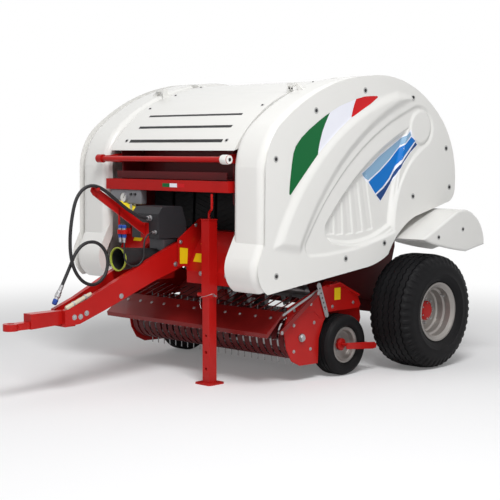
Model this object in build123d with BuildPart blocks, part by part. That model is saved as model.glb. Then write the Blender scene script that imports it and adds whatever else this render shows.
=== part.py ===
# Towed round baler, standing on its wheels and its jack.
# Millimetres. +Z up, +X towards the machine's left, -Y towards the tractor.
# The origin lies on the ground under the middle of the machine's box.
from build123d import *
from math import hypot
import os

os.makedirs("parts", exist_ok=True)

# Ground wheels, at (length, height) of their axles: a 400/60-15.5 implement tyre and a small gauge wheel
axle_y, wheel_r, wheel_x = 1640, 440, 1075
gauge_y, gauge_r, gauge_x = 932, 228, 844

# Lengths along the machine are counted from the front face of its cross beam. The tow
# eye's tip lies ahead of that face and the fenders end behind it, with the origin half way.
eye_tip, fender_reach = -1471, 622
fender_rear = axle_y + fender_reach
front = -(eye_tip + fender_rear) / 2

# Small gaps: between faces that are bolted together, and round a turning pin
seat = 0.3
pin_gap = 0.5


def side(x):
    """A plane facing the machine's left at x; its axes are length and height."""
    return Plane(origin=(x, front, 0), x_dir=(0, 1, 0), z_dir=(1, 0, 0))


def across(y):
    """A plane facing forwards at y behind the front face; its axes are x and height."""
    return Plane(origin=(0, front + y, 0), x_dir=(1, 0, 0), z_dir=(0, -1, 0))


def level(z):
    """A level plane at height z; its axes are x and length."""
    return Plane(origin=(0, front, z))


def save(piece, label):
    """Label a finished piece and write it to its file."""
    piece.label = label
    export_step(piece, f"parts/{label}.step")
    print(label, round(piece.volume / 1e6, 3), "litres")


# The walls stand side by side, from the bale outwards: chamber wall, gate wall, rail, cover
wall_x, wall_thick = 600, 12
gate_wall_x = 620
rail_x = 645
cover_rim_x, cover_face_x = 690, 1000

# Hinges and rotors, each at (length, height)
gate_hinge = (985, 2120)
pickup_hinge = (1000, 640)
reel_axis = (500, 322)
feeder_axis = (960, 600)

# Lift cylinders of the tailgate: their pins, and the slot beside the gate that they stand in
cylinder_base, cylinder_top = (1190, 985), (1315, 1740)
cylinder_x, cylinder_pin_r, barrel_r, rod_r = 661, 12, 22, 14
cover_hinge_x, cover_hinge_z = 745, 2152

# Jack
jack_x, jack_tube, jack_wall = 430, 80, 4
jack_leg = jack_tube - 2 * jack_wall - 2 * seat

sides = (("left", 1), ("right", -1))


# Side covers: a deep moulded tub, open towards the bale chamber.
# The outline is lines and arcs in side view, clockwise from the lower front corner.
def cover_outline(inset):
    """The cover's outline in side view, moved inwards by inset."""
    with BuildSketch(Plane.XY, mode=Mode.PRIVATE) as outline:
        with BuildLine():
            Line((-20, 690), (1021, 806))
            ThreePointArc((1021, 806), (1188, 838), (1310, 890))
            ThreePointArc((1310, 890), (1446, 1052), (1650, 1166))
            Line((1650, 1166), (2070, 1262))
            ThreePointArc((2070, 1262), (2138, 1302), (2165, 1380))
            ThreePointArc((2165, 1380), (2121, 1699), (1981, 1915))
            ThreePointArc((1981, 1915), (1580, 2170), (1071, 2223))
            ThreePointArc((1071, 2223), (560, 2112), (120, 1862))
            ThreePointArc((120, 1862), (8, 1726), (-40, 1560))
            Line((-40, 1560), (-45, 1035))
            ThreePointArc((-45, 1035), (-72, 985), (-100, 930))
            ThreePointArc((-100, 930), (-98, 780), (-20, 690))
        make_face()
        if inset:
            offset(amount=-inset)
    return outline.sketch


cover_skin, cover_lip, cover_lip_depth = 30, 70, 60
cover_round, lip_round = 75, 55
leaf_depth, leaf_taper = 42, 30
# Hinges: length, foot and head of the plate on the hood's side, and the cover's top there
hinge_places = ((570, 2068, 2164, 2115), (930, 2142, 2186, 2208))
hinge_half, ear_thick, ear_r, cover_pin_r = 28, 8, 12, 8
lug_root_x, lug_gap = 805, 6

for name, hand in sides:
    with BuildPart() as cover:
        with BuildSketch(side(0)):
            add(cover_outline(0))
        extrude(amount=cover_face_x)
        split(bisect_by=Plane.YZ.offset(cover_rim_x), keep=Keep.TOP)
        outer = cover.faces().sort_by(Axis.X)[-1].edges()
        fillet(outer, cover_round)
        rim = cover.faces().sort_by(Axis.X)[0].edges()
        fillet(rim.filter_by_position(Axis.Z, 1500, 2300), lip_round)
        # The leaf-shaped recess in the outer face
        with BuildSketch(side(cover_face_x)):
            with BuildLine():
                ThreePointArc((600, 1150), (1010, 1540), (1570, 1850))
                ThreePointArc((1570, 1850), (1440, 1420), (1400, 1090))
                ThreePointArc((1400, 1090), (1060, 985), (690, 1003))
                ThreePointArc((690, 1003), (604, 1060), (600, 1150))
            make_face()
        extrude(amount=-leaf_depth, taper=leaf_taper, mode=Mode.SUBTRACT)
        # The hollow inside: a lip round the rim, then the full width
        with BuildSketch(side(cover_rim_x)):
            add(cover_outline(cover_lip))
        extrude(amount=cover_lip_depth, mode=Mode.SUBTRACT)
        with BuildSketch(side(cover_rim_x + cover_lip_depth)):
            add(cover_outline(cover_skin))
        hollow_depth = cover_face_x - cover_rim_x - cover_lip_depth - cover_skin - leaf_depth
        extrude(amount=hollow_depth, mode=Mode.SUBTRACT)
        # Hinge lugs, each in a notch of the inner lip
        for y, plate_foot, plate_head, cover_top in hinge_places:
            with Locations((cover_hinge_x, front + y, cover_hinge_z + 20)):
                Box(2 * (cover_hinge_x - cover_rim_x) + 10, 2 * (hinge_half + lug_gap), 100, mode=Mode.SUBTRACT)
            with BuildSketch(across(y - hinge_half + ear_thick + lug_gap)):
                with Locations((cover_hinge_x, cover_hinge_z)):
                    Circle(ear_r)
                with Locations((lug_root_x, cover_top - cover_skin / 2)):
                    Rectangle(30, 20)
                make_hull()
                with Locations((cover_hinge_x, cover_hinge_z)):
                    Circle(cover_pin_r + pin_gap, mode=Mode.SUBTRACT)
            extrude(amount=-2 * (hinge_half - ear_thick - lug_gap))
    body = cover.part
    if hand < 0:
        body = mirror(body, about=Plane.YZ)
    save(body, f"side_cover_{name}")


# Chassis rails: a plate on each side from the cross beam to the axle
axle_beam = 100
beam_step = 860
rail_top = beam_step - seat
axle_top = wheel_r + axle_beam / 2
with BuildPart() as rails:
    for name, hand in sides:
        with BuildSketch(side(hand * rail_x)):
            with BuildLine():
                Polyline((200, 735), (900, 735), (1180, 560), (1560, axle_top + seat), (1720, axle_top + seat))
                Polyline((1720, axle_top + seat), (1850, 900), (1850, 1120), (1650, 1120), (1400, 930))
                Polyline((1400, 930), (1215, 1010), (1165, 1010), (1130, 900), (1000, rail_top))
                Polyline((1000, rail_top), (200, rail_top), (200, 735))
            make_face()
        extrude(amount=hand * wall_thick)
        # The pin of the lift cylinder
        with BuildSketch(side(hand * (rail_x + wall_thick))):
            with Locations(cylinder_base):
                Circle(cylinder_pin_r)
        extrude(amount=hand * 18)
save(rails.part, "chassis_rails")

# Axle: a square beam with a stub for each wheel
stub_r, stub_end, beam_end = 32, 1120, 840
with BuildPart() as axle:
    with BuildSketch(across(axle_y)):
        with Locations((0, wheel_r)):
            Rectangle(2 * beam_end, axle_beam)
    extrude(amount=axle_beam / 2, both=True)
    for name, hand in sides:
        with BuildSketch(side(hand * beam_end)):
            with Locations((axle_y, wheel_r)):
                Circle(stub_r)
        extrude(amount=hand * (stub_end - beam_end))
save(axle.part, "axle")

# Cross beam: a folded box on each side of the drawbar, joined behind by a bar
beam_in, beam_out, beam_bottom, beam_top, beam_rear = 150, 675, 710, 1085, 330
with BuildPart() as cross_beam:
    for name, hand in sides:
        with BuildSketch(side(hand * beam_in)):
            with BuildLine():
                Polyline((30, beam_bottom), (30, 800), (101, 940), (200, beam_top), (beam_rear, beam_top))
                Polyline((beam_rear, beam_top), (beam_rear, beam_step), (180, beam_step))
                Polyline((180, beam_step), (180, beam_bottom), (30, beam_bottom))
            make_face()
        extrude(amount=hand * (beam_out - beam_in))
    with BuildSketch(side(-beam_in)):
        with Locations((265, 973)):
            Rectangle(130, 224)
    extrude(amount=2 * beam_in)
save(cross_beam.part, "cross_beam")

# Drawbar: two tapering plates that spread towards the cross beam
bar_front, bar_rear, gearbox_low = -1030, 30, 822
bar_front_in, bar_front_out, bar_rear_in, bar_rear_out = 42, 80, 100, 145
with BuildPart() as drawbar:
    with BuildSketch(side(-bar_rear_out)):
        with BuildLine():
            Polyline((bar_rear, 838), (-258, 743), (-696, 569), (-909, 491), (bar_front, 478))
            Polyline((bar_front, 478), (bar_front, 592), (-842, 658), (-454, 831), (-81, 993), (bar_rear, 1040))
            Line((bar_rear, 1040), (bar_rear, 838))
        make_face()
    extrude(amount=2 * bar_rear_out)
    with BuildSketch(level(0)):
        for name, hand in sides:
            with BuildLine():
                Polyline(
                    (hand * bar_front_in, bar_front),
                    (hand * bar_front_out, bar_front),
                    (hand * bar_rear_out, bar_rear),
                    (hand * bar_rear_in, bar_rear),
                    close=True,
                )
            make_face()
    extrude(amount=beam_top, mode=Mode.INTERSECT)
    # Cross plates join the two: under the front ends, half way and under the gearbox
    tie_thick = 10
    for y, z, long, wide in (
        (-985, 478, 90, 150),
        (-560, 625, 60, 150),
        (-70, gearbox_low - seat - tie_thick, 110, 240),
    ):
        with BuildSketch(level(z)):
            with Locations((0, y)):
                Rectangle(wide, long)
        extrude(amount=tie_thick)
save(drawbar.part, "drawbar")

# Gussets: upright plates that tie the drawbar to the cross beam
with BuildPart() as gussets:
    for name, hand in sides:
        with BuildSketch(side(hand * (bar_rear_out + seat))):
            with BuildLine():
                Polyline((-60, 830), (29.7, 830), (29.7, 800.1), (100.7, 940.1), (199.7, 1085.3), (199.7, 1170))
                Polyline((199.7, 1170), (160, 1175), (-60, 1030), (-60, 830))
            make_face()
        extrude(amount=hand * wall_thick)
save(gussets.part, "drawbar_gussets")

# Tow hitch: a stepped block bolted between the drawbar's ends, and its forged ring
eye_r, ring_r, ring_z = 25, 51, 487
ring_y = eye_tip + ring_r
hitch_wide = 2 * bar_front_in - 2 * seat
with BuildPart() as hitch:
    with BuildSketch(side(-hitch_wide / 2)):
        with BuildLine():
            Polyline((-900, 500), (-1285, 485), (-1285, 588), (-900, 588), close=True)
        make_face()
    extrude(amount=hitch_wide)
    with BuildSketch(level(ring_z + seat)):
        with Locations((0, (ring_y - 1285) / 2)):
            Rectangle(62, abs(ring_y + 1285))
        with Locations((0, ring_y)):
            Circle(ring_r)
    extrude(amount=47)
    with BuildSketch(level(0)):
        with Locations((0, ring_y)):
            Circle(eye_r)
    extrude(amount=beam_top, mode=Mode.SUBTRACT)
save(hitch.part, "tow_hitch")

# Jack: the square outer tube with its cap and crank, and the leg that slides in it
jack_y = 30 - jack_tube / 2 - seat
with BuildPart() as jack_outer:
    with BuildSketch(level(620)):
        with Locations((jack_x, jack_y)):
            Rectangle(jack_tube, jack_tube)
            Rectangle(jack_tube - 2 * jack_wall, jack_tube - 2 * jack_wall, mode=Mode.SUBTRACT)
    extrude(amount=560)
    with BuildSketch(level(1180)):
        with Locations((jack_x, jack_y)):
            Rectangle(jack_tube + 6, jack_tube + 6)
    extrude(amount=8)
save(jack_outer.part, "jack_tube")

foot, foot_thick, leg_top = 160, 12, 810
with BuildPart() as jack_inner:
    with BuildSketch(level(0)):
        with Locations((jack_x, jack_y)):
            RectangleRounded(foot, foot, 25)
    extrude(amount=foot_thick)
    with BuildSketch(level(foot_thick)):
        with Locations((jack_x, jack_y)):
            Rectangle(jack_leg, jack_leg)
    extrude(amount=leg_top - foot_thick)
    # The pin holes in the leg's front
    with BuildSketch(across(jack_y - jack_leg / 2)):
        with Locations((jack_x, 110), (jack_x, 230), (jack_x, 350)):
            Circle(11)
    extrude(amount=-20, mode=Mode.SUBTRACT)
save(jack_inner.part, "jack_leg")

crank_r = 9
with BuildPart() as crank:
    with BuildLine():
        FilletPolyline(
            (jack_x, front + jack_y, 1188 + seat),
            (jack_x, front + jack_y, 1235),
            (jack_x + 70, front + jack_y - 40, 1262),
            (jack_x + 70, front + jack_y - 40, 1370),
            radius=16,
        )
    with BuildSketch(level(1188 + seat)):
        with Locations((jack_x, jack_y)):
            Circle(crank_r)
    sweep()
save(crank.part, "jack_crank")

# Gearbox between the drawbar's rear ends, with the splined stub for the shaft
stub_z, spline_r, stub_front, collar_r = 905, 17.4, -270, 52
with BuildPart() as gearbox:
    with BuildSketch(level(gearbox_low)):
        with Locations((0, -55)):
            Rectangle(160, 165)
    extrude(amount=1030 - gearbox_low)
    fillet(gearbox.edges().filter_by(Axis.Z), 18)
    with BuildSketch(across(-137)):
        with Locations((0, stub_z)):
            Circle(collar_r)
    extrude(amount=30)
    with BuildSketch(across(-167)):
        with Locations((0, stub_z)):
            Circle(spline_r)
    extrude(amount=-167 - stub_front)
save(gearbox.part, "gearbox")

# The grey cover over the gearbox
with BuildPart() as gearbox_cover:
    with BuildSketch(side(-bar_rear_out)):
        with BuildLine():
            Polyline((-240, 1042), (29.7, 1042), (29.7, 1150), (-10, 1270), (-200, 1270), (-240, 1220), (-240, 1042))
        make_face()
    extrude(amount=2 * bar_rear_out)
    fillet(gearbox_cover.edges().filter_by(Axis.X).group_by(Axis.Z)[-1], 20)
save(gearbox_cover.part, "gearbox_cover")

# The shaft guard, a flared sleeve round the stub
guard_wall = 4
guard_seat = collar_r + seat
with BuildPart() as pto_guard:
    with BuildSketch(Plane(origin=(0, front, stub_z), x_dir=(0, 1, 0), z_dir=(1, 0, 0))):
        with BuildLine():
            Polyline((-145, guard_seat + guard_wall), (-175, 60), (-500, 84), (-500, 84 - guard_wall))
            Polyline((-500, 84 - guard_wall), (-175, 60 - guard_wall), (-168, guard_seat))
            Polyline((-168, guard_seat), (-145, guard_seat), (-145, guard_seat + guard_wall))
        make_face()
    revolve(axis=Axis((0, front, stub_z), (0, 1, 0)))
save(pto_guard.part, "pto_guard")

# Hose arm: a flat bar that leans forwards and up over the drawbar
with BuildPart() as hose_arm:
    with BuildSketch(side(-6)):
        with BuildLine():
            Polyline((-240.3, 1060), (-240.3, 1140), (-690, 1420), (-725, 1425))
            Polyline((-725, 1425), (-738, 1395), (-715, 1365), (-240.3, 1060))
        make_face()
    extrude(amount=12)
    with BuildSketch(side(-40)):
        with Locations((-244.3, 1100)):
            Rectangle(8, 110)
    extrude(amount=80)
save(hose_arm.part, "hose_arm")

# Chamber walls: the fixed front half of the bale chamber's sides
hinge_pin_r = 24
wall_front = beam_rear + seat
with BuildPart() as walls:
    for name, hand in sides:
        with BuildSketch(side(hand * wall_x)):
            with BuildLine():
                Polyline((wall_front, 760), (wall_front, 1090), (60, 1300), (60, 1640), (40, 1688 - seat))
                ThreePointArc((40, 1688 - seat), (282, 1928 - seat), (630, 2087 - seat))
                ThreePointArc((630, 2087 - seat), (826, 2144 - seat), (1020, 2174 - seat))
                Polyline((1020, 2174 - seat), (1080, 2050), (1180, 1370), (1290, 620), (1120, 620))
                Polyline((1120, 620), (700, 760), (wall_front, 760))
            make_face()
        extrude(amount=hand * wall_thick)
        with BuildSketch(side(0)):
            with Locations(gate_hinge):
                Circle(hinge_pin_r + seat)
        extrude(amount=hand * rail_x, mode=Mode.SUBTRACT)
        # The opening round the feeder
        with BuildSketch(side(0)):
            with Locations(feeder_axis):
                Circle(165)
        extrude(amount=hand * rail_x, mode=Mode.SUBTRACT)
save(walls.part, "chamber_walls")

# Rollers of the fixed half, at (length, height, radius): two for the belts, a starter and the floor's
roller_half = wall_x - seat
belt_roller_r = 75
belt_roller_high, belt_roller_low = (470, 1800), (430, 1010)
with BuildPart() as chamber_rollers:
    for y, z, r in (
        (*belt_roller_high, belt_roller_r),
        (*belt_roller_low, belt_roller_r),
        (705, 850, 75),
        (1190, 700, 68),
    ):
        with BuildSketch(side(-roller_half)):
            with Locations((y, z)):
                Circle(r)
        extrude(amount=2 * roller_half)
save(chamber_rollers.part, "chamber_rollers")

# The tube that carries the tailgate's hinge
with BuildPart() as hinge_tube:
    with BuildSketch(side(-(gate_wall_x + wall_thick + 6))):
        with Locations(gate_hinge):
            Circle(hinge_pin_r)
    extrude(amount=2 * (gate_wall_x + wall_thick + 6))
save(hinge_tube.part, "gate_hinge_tube")

# Belts of the fixed half: a loop of flat belts round its two front rollers
belt_thick, belt_count, belt_wide, belt_gap = 8, 5, 205, 30
belt_pitch = belt_wide + belt_gap
belt_r = belt_roller_r + belt_thick + seat


def belts(loop, thick):
    """Cut a hollow loop into flat belts that lie side by side."""
    with BuildPart() as strip:
        for i in range(belt_count):
            x = (i - (belt_count - 1) / 2) * belt_pitch - belt_wide / 2
            with BuildSketch(side(x)):
                add(loop)
                offset(loop, amount=-thick, mode=Mode.SUBTRACT)
            extrude(amount=belt_wide)
    return strip.part


with BuildSketch(Plane.XY) as front_loop:
    with Locations(belt_roller_high, belt_roller_low):
        Circle(belt_r)
    make_hull()
save(belts(front_loop.sketch, belt_thick), "front_belts")

# Hood: the white panel between the covers, ahead of the tailgate
hood_half, hood_thick, hood_rear = 672, 24, 1025
with BuildPart() as hood:
    with BuildSketch(side(-hood_half)):
        with BuildLine():
            hood_low = Line((0, 1675), (16, 1700))
            ThreePointArc((16, 1700), (264, 1945), (620, 2110))
            ThreePointArc((620, 2110), (820, 2168), (hood_rear, 2200))
            Line((hood_rear, 2200), (hood_rear, 2200 - hood_thick))
            ThreePointArc((hood_rear, 2200 - hood_thick), (826, 2144), (630, 2087))
            ThreePointArc((630, 2087), (282, 1928), (40, 1688))
            Line((40, 1688), (0, 1675))
        make_face()
    extrude(amount=2 * hood_half)
    # Three long slots
    for y, z in ((62, 1812), (158, 1880), (264, 1945)):
        with BuildSketch(level(1500)):
            with Locations((0, y - 12)):
                SlotOverall(1010, 14)
        extrude(amount=900, mode=Mode.SUBTRACT)
save(hood.part, "hood")

# The front bar with its two end knobs, and the beam and box below the hood
front_bar_y, front_bar_z, front_bar_r = -90, 1613, 20
with BuildPart() as front_bar:
    with BuildSketch(side(-655)):
        with Locations((front_bar_y, front_bar_z)):
            Circle(front_bar_r)
    extrude(amount=1310)
    for name, hand in sides:
        with BuildSketch(side(hand * 655)):
            with Locations((front_bar_y, front_bar_z)):
                Circle(32)
        extrude(amount=hand * 60)
        with BuildSketch(side(hand * (wall_x + wall_thick + seat))):
            with BuildLine():
                Polyline((-90, 1590), (-90, 1636), (140, 1660), (140, 1580), close=True)
            make_face()
        extrude(amount=hand * wall_thick)
save(front_bar.part, "front_bar")

with BuildPart() as cross_member:
    with BuildSketch(side(-668)):
        with Locations((-14, 1420)):
            Rectangle(80, 80)
    extrude(amount=2 * 668)
    for name, hand in sides:
        with BuildSketch(side(hand * 634)):
            with Locations((100, 1420)):
                Rectangle(148, 80)
        extrude(amount=-hand * 21.7)
save(cross_member.part, "cross_member")

with BuildPart() as net_box:
    with BuildSketch(side(-roller_half)):
        with BuildLine():
            Polyline((0, 1465), (280, 1465), (280, 1860), (274, 1854), (274, 1471))
            Polyline((274, 1471), (6, 1471), (6, 1520), (0, 1520), (0, 1465))
        make_face()
    extrude(amount=2 * roller_half)
save(net_box.part, "net_box")

# Tailgate: side plates and two tubes, its rear skin, rollers and belts
with BuildPart() as gate_walls:
    for name, hand in sides:
        with BuildSketch(side(hand * gate_wall_x)):
            with BuildLine():
                Polyline((1270, 700), (1130, 1400), (1040, 2000), (960, 2086))
                ThreePointArc((960, 2086), (948, 2140), (1021, 2112))
                Polyline((1021, 2112), (1083, 2094), (1092, 2120), (1075, 2178), (1060, 2190))
                ThreePointArc((1060, 2190), (1600, 2105), (1960, 1870))
                ThreePointArc((1960, 1870), (2087, 1660), (2120, 1400))
                Polyline((2120, 1400), (2060, 1260), (1640, 760), (1480, 640), (1330, 640), (1270, 700))
            make_face()
        extrude(amount=hand * wall_thick)
        with BuildSketch(side(hand * gate_wall_x)):
            with Locations(gate_hinge):
                Circle(hinge_pin_r + pin_gap)
        extrude(amount=hand * wall_thick, mode=Mode.SUBTRACT)
save(gate_walls.part, "gate_walls")

skin_half = gate_wall_x + wall_thick + 8
with BuildPart() as gate_skin:
    with BuildSketch(side(-skin_half)):
        with BuildLine():
            ThreePointArc((1062, 2190.4), (1600.2, 2105.4), (1960.4, 1870.3))
            ThreePointArc((1960.4, 1870.3), (2087.4, 1660.2), (2120.4, 1400))
            Line((2120.4, 1400), (2128.4, 1400))
            ThreePointArc((2128.4, 1400), (2095, 1662), (1967, 1875))
            ThreePointArc((1967, 1875), (1604, 2113), (1062, 2198.5))
            Line((1062, 2198.5), (1062, 2190.4))
        make_face()
    extrude(amount=2 * skin_half)
save(gate_skin.part, "gate_skin")

gate_half = gate_wall_x - seat
with BuildPart() as gate_frame:
    for y, z, high in ((2075, 1345, 70), (1600, 735, 70)):
        with BuildSketch(side(-gate_half)):
            with Locations((y, z)):
                Rectangle(50, high)
        extrude(amount=2 * gate_half)
save(gate_frame.part, "gate_frame")

gate_roller_r = 60
with BuildPart() as gate_rollers:
    for y, z in ((1230, 2060), (1790, 1860), (1920, 1180), (1500, 790)):
        with BuildSketch(side(-gate_half)):
            with Locations((y, z)):
                Circle(gate_roller_r)
        extrude(amount=2 * gate_half)
save(gate_rollers.part, "gate_rollers")

# Pickup: an end plate and a lift arm on each side, the strippers between them and the windguard ahead
pickup_half, plate_thick, lift_arm_x = 850, 8, 738
reel_y, reel_z = reel_axis
shaft_r = 30
arm_rod_y, arm_rod_z, arm_rod_r = 1215, 200, 18
with BuildPart() as end_plates:
    for name, hand in sides:
        with BuildSketch(side(hand * pickup_half)):
            with BuildLine():
                Polyline((314, 398), (345, 250), (400, 160), (486, 119), (683, 114), (692, 300), (745, 420))
                Polyline((745, 420), (782, 455), (782, 500), (692, 540), (380, 540), (314, 398))
            make_face()
            with Locations(reel_axis):
                Circle(shaft_r + pin_gap, mode=Mode.SUBTRACT)
        extrude(amount=hand * plate_thick)
save(end_plates.part, "pickup_plates")

with BuildPart() as lift_arms:
    for name, hand in sides:
        with BuildSketch(side(hand * lift_arm_x)):
            with BuildLine():
                Polyline((782.3, 400), (782.3, 560), (1020, 690), (1280, 560), (1311, 380), (1240, 170))
                Polyline((1240, 170), (1190, 170), (1170, 330), (782.3, 400))
            make_face()
            with Locations(pickup_hinge):
                Circle(25 + pin_gap, mode=Mode.SUBTRACT)
        extrude(amount=hand * plate_thick)
save(lift_arms.part, "pickup_arms")

# The pins that the pickup lifts on, standing out from the rails
with BuildPart() as pickup_pins:
    for name, hand in sides:
        with BuildSketch(side(hand * (rail_x + wall_thick + seat))):
            with Locations(pickup_hinge):
                Circle(45)
        extrude(amount=hand * 60)
        with BuildSketch(side(hand * (rail_x + wall_thick + seat + 60))):
            with Locations(pickup_hinge):
                Circle(25)
        extrude(amount=hand * (lift_arm_x + plate_thick + 6 - rail_x - wall_thick - seat - 60))
save(pickup_pins.part, "pickup_pins")

# Strippers: bent strips with slots between them for the tines, and their two rails
strip_count, strip_wide, strip_r, strip_thick, strip_end_gap = 24, 50, 160, 4, 20
strip_pitch = (2 * (pickup_half - strip_end_gap) - strip_wide) / (strip_count - 1)
inner_r = strip_r - strip_thick
strip_top_end = (reel_y + 282, reel_z + strip_r)
strip_low_end = (reel_y + 198, reel_z - strip_r)
strip_rail = (24, 30)
with BuildPart() as strippers:
    for i in range(strip_count):
        x = (i - (strip_count - 1) / 2) * strip_pitch - strip_wide / 2
        with BuildSketch(side(x)):
            with BuildLine():
                Line(strip_top_end, (reel_y, reel_z + strip_r))
                ThreePointArc((reel_y, reel_z + strip_r), (reel_y - strip_r, reel_z), (reel_y, reel_z - strip_r))
                Line((reel_y, reel_z - strip_r), strip_low_end)
                Line(strip_low_end, (strip_low_end[0], strip_low_end[1] + strip_thick))
                Line((strip_low_end[0], strip_low_end[1] + strip_thick), (reel_y, reel_z - inner_r))
                ThreePointArc((reel_y, reel_z - inner_r), (reel_y - inner_r, reel_z), (reel_y, reel_z + inner_r))
                Line((reel_y, reel_z + inner_r), (strip_top_end[0], strip_top_end[1] - strip_thick))
                Line((strip_top_end[0], strip_top_end[1] - strip_thick), strip_top_end)
            make_face()
        extrude(amount=strip_wide)
    for end, lift in ((strip_top_end, -1), (strip_low_end, 1)):
        with BuildSketch(side(-(pickup_half - seat))):
            with Locations((end[0] - strip_rail[0] / 2, end[1] + lift * strip_rail[1] / 2)):
                Rectangle(*strip_rail)
        extrude(amount=2 * (pickup_half - seat))
save(strippers.part, "pickup_strippers")

# Reel: shaft, end discs, four bars and a tine in every gap between the strips
bar_r, bar_orbit, tine_reach, tine_thick = 14, 100, 205, 6
shaft_half = pickup_half + plate_thick + 12
with BuildPart() as reel:
    with BuildSketch(side(-shaft_half)):
        with Locations(reel_axis):
            Circle(shaft_r)
    extrude(amount=2 * shaft_half)
    for x in (-800, -6, 788):
        with BuildSketch(side(x)):
            with Locations(reel_axis):
                Circle(bar_orbit + 20)
        extrude(amount=12)
    with BuildSketch(side(-800)):
        with Locations(reel_axis):
            with PolarLocations(bar_orbit, 4):
                Circle(bar_r)
    extrude(amount=1600)
    for i in range(strip_count - 1):
        x = (i - (strip_count - 2) / 2) * strip_pitch - tine_thick / 2
        with BuildSketch(side(x)):
            with Locations(reel_axis):
                with PolarLocations((bar_orbit + tine_reach) / 2, 4):
                    Rectangle(tine_reach - bar_orbit, tine_thick)
        extrude(amount=tine_thick)
save(reel.part, "pickup_reel")

# Windguard: a plate ahead of the reel, its two brackets, and rods that trail over the reel
guard_half = pickup_half + 30
guard_rod_count, guard_rod_r, guard_rod_margin = 20, 5, 82
guard_rod_pitch = 2 * (guard_half - guard_rod_margin) / (guard_rod_count - 1)
with BuildPart() as windguard:
    with BuildSketch(side(-guard_half)):
        with BuildLine():
            Polyline((113, 392), (121, 360), (240, 470), (290, 520), (286, 532), (228, 480), close=True)
        make_face()
    extrude(amount=2 * guard_half)
    for name, hand in sides:
        with BuildSketch(side(hand * (pickup_half - seat))):
            with BuildLine():
                Polyline((245, 476), (288, 520), (440, 540), (440, 500), (245, 466), close=True)
            make_face()
        extrude(amount=-hand * plate_thick)
    for i in range(guard_rod_count):
        x = (i - (guard_rod_count - 1) / 2) * guard_rod_pitch
        with BuildSketch(Plane(origin=(x, front + 278, 522), x_dir=(1, 0, 0), z_dir=(0, 1, 0.33))):
            RegularPolygon(guard_rod_r, 6)
        extrude(amount=255)
save(windguard.part, "windguard")

# Wheels: tyre, rim and hub, turned about the axle
def turned(points, x, y, z, hand):
    """Turn a closed outline of (offset outwards, radius) about the axle at (x, y, z)."""
    with BuildPart() as piece:
        with BuildSketch(Plane(origin=(hand * x, front + y, z), x_dir=(hand, 0, 0), z_dir=(0, -hand, 0))):
            with BuildLine():
                Polyline(*points, close=True)
            make_face()
        revolve(axis=Axis((hand * x, front + y, z), (1, 0, 0)))
    return piece.part


tyre_outline = (
    (-160, 200), (-160, 228), (-193, 265), (-198, 330), (-185, 395), (-150, 428), (-78, wheel_r),
    (78, wheel_r), (150, 428), (185, 395), (198, 330), (193, 265), (160, 228), (160, 200),
)
rim_outline = (
    (-160.3, 199.7), (160.3, 199.7), (160.3, 226), (170, 226), (170, 212), (150, 186), (100, 184),
    (92, 168), (45, 162), (35, 150), (35, 75), (23, 75), (23, 162), (-150, 186),
    (-170, 212), (-170, 226), (-160.3, 226),
)
hub_outline = (
    (-60, 32.5), (-60, 62), (10, 62), (10, 110), (22.7, 110), (22.7, 74.7), (55, 74.7), (70, 50), (72, 0),
    (48, 0), (48, 32.5),
)
gauge_tyre_outline = (
    (-60, 118), (-60, 135), (-88, 155), (-90, 190), (-78, 216), (-52, gauge_r),
    (52, gauge_r), (78, 216), (90, 190), (88, 155), (60, 135), (60, 118),
)
gauge_rim_outline = (
    (-60.3, 117.7), (60.3, 117.7), (60.3, 134), (66, 134), (66, 124), (58, 110), (20, 104), (14, 95), (14, 46),
    (4, 46), (4, 98), (-58, 110), (-66, 124), (-66, 134), (-60.3, 134),
)
gauge_hub_outline = (
    (-48, 12.5), (-48, 34), (-8, 34), (-8, 62), (3.7, 62), (3.7, 45.7), (34, 45.7), (40, 30), (40, 12.5),
)
for name, hand in sides:
    save(turned(tyre_outline, wheel_x, axle_y, wheel_r, hand), f"tyre_{name}")
    save(turned(rim_outline, wheel_x, axle_y, wheel_r, hand), f"rim_{name}")
    save(turned(hub_outline, wheel_x, axle_y, wheel_r, hand), f"hub_{name}")
    save(turned(gauge_tyre_outline, gauge_x, gauge_y, gauge_r, hand), f"gauge_tyre_{name}")
    save(turned(gauge_rim_outline, gauge_x, gauge_y, gauge_r, hand), f"gauge_rim_{name}")
    save(turned(gauge_hub_outline, gauge_x, gauge_y, gauge_r, hand), f"gauge_hub_{name}")

# Gauge wheel arms: a flat bar outside the wheel with its axle, and a rod behind it to the lift arm
arm_x, arm_thick, gauge_axle_r = 952, 12, 12
with BuildPart() as gauge_arms:
    for name, hand in sides:
        with BuildSketch(side(hand * arm_x)):
            with BuildLine():
                Polyline((895, 205), (895, 252), (1215, 225), (1240, 205), (1235, 178), (1190, 175), (895, 205))
            make_face()
        extrude(amount=hand * arm_thick)
        with BuildSketch(side(hand * arm_x)):
            with Locations((gauge_y, gauge_r)):
                Circle(gauge_axle_r)
        extrude(amount=-hand * 172)
        with BuildSketch(side(hand * arm_x)):
            with Locations((arm_rod_y, arm_rod_z)):
                Circle(arm_rod_r)
        extrude(amount=-hand * (arm_x - lift_arm_x - plate_thick - seat))
save(gauge_arms.part, "gauge_arms")

# Lift cylinders: a barrel on the rail's pin and a rod to the gate's pin
cylinder_long = hypot(cylinder_top[0] - cylinder_base[0], cylinder_top[1] - cylinder_base[1])
lean = Vector(0, cylinder_top[0] - cylinder_base[0], cylinder_top[1] - cylinder_base[1]).normalized()
barrel_low, barrel_high, rod_low, eye_half = 75, 660, 90, 11


def along_cylinder(hand, distance):
    """A plane square to the cylinder, at a distance from its lower pin."""
    foot_of_it = Vector(hand * cylinder_x, front + cylinder_base[0], cylinder_base[1])
    return Plane(origin=foot_of_it + lean * distance, x_dir=(1, 0, 0), z_dir=lean)


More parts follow.
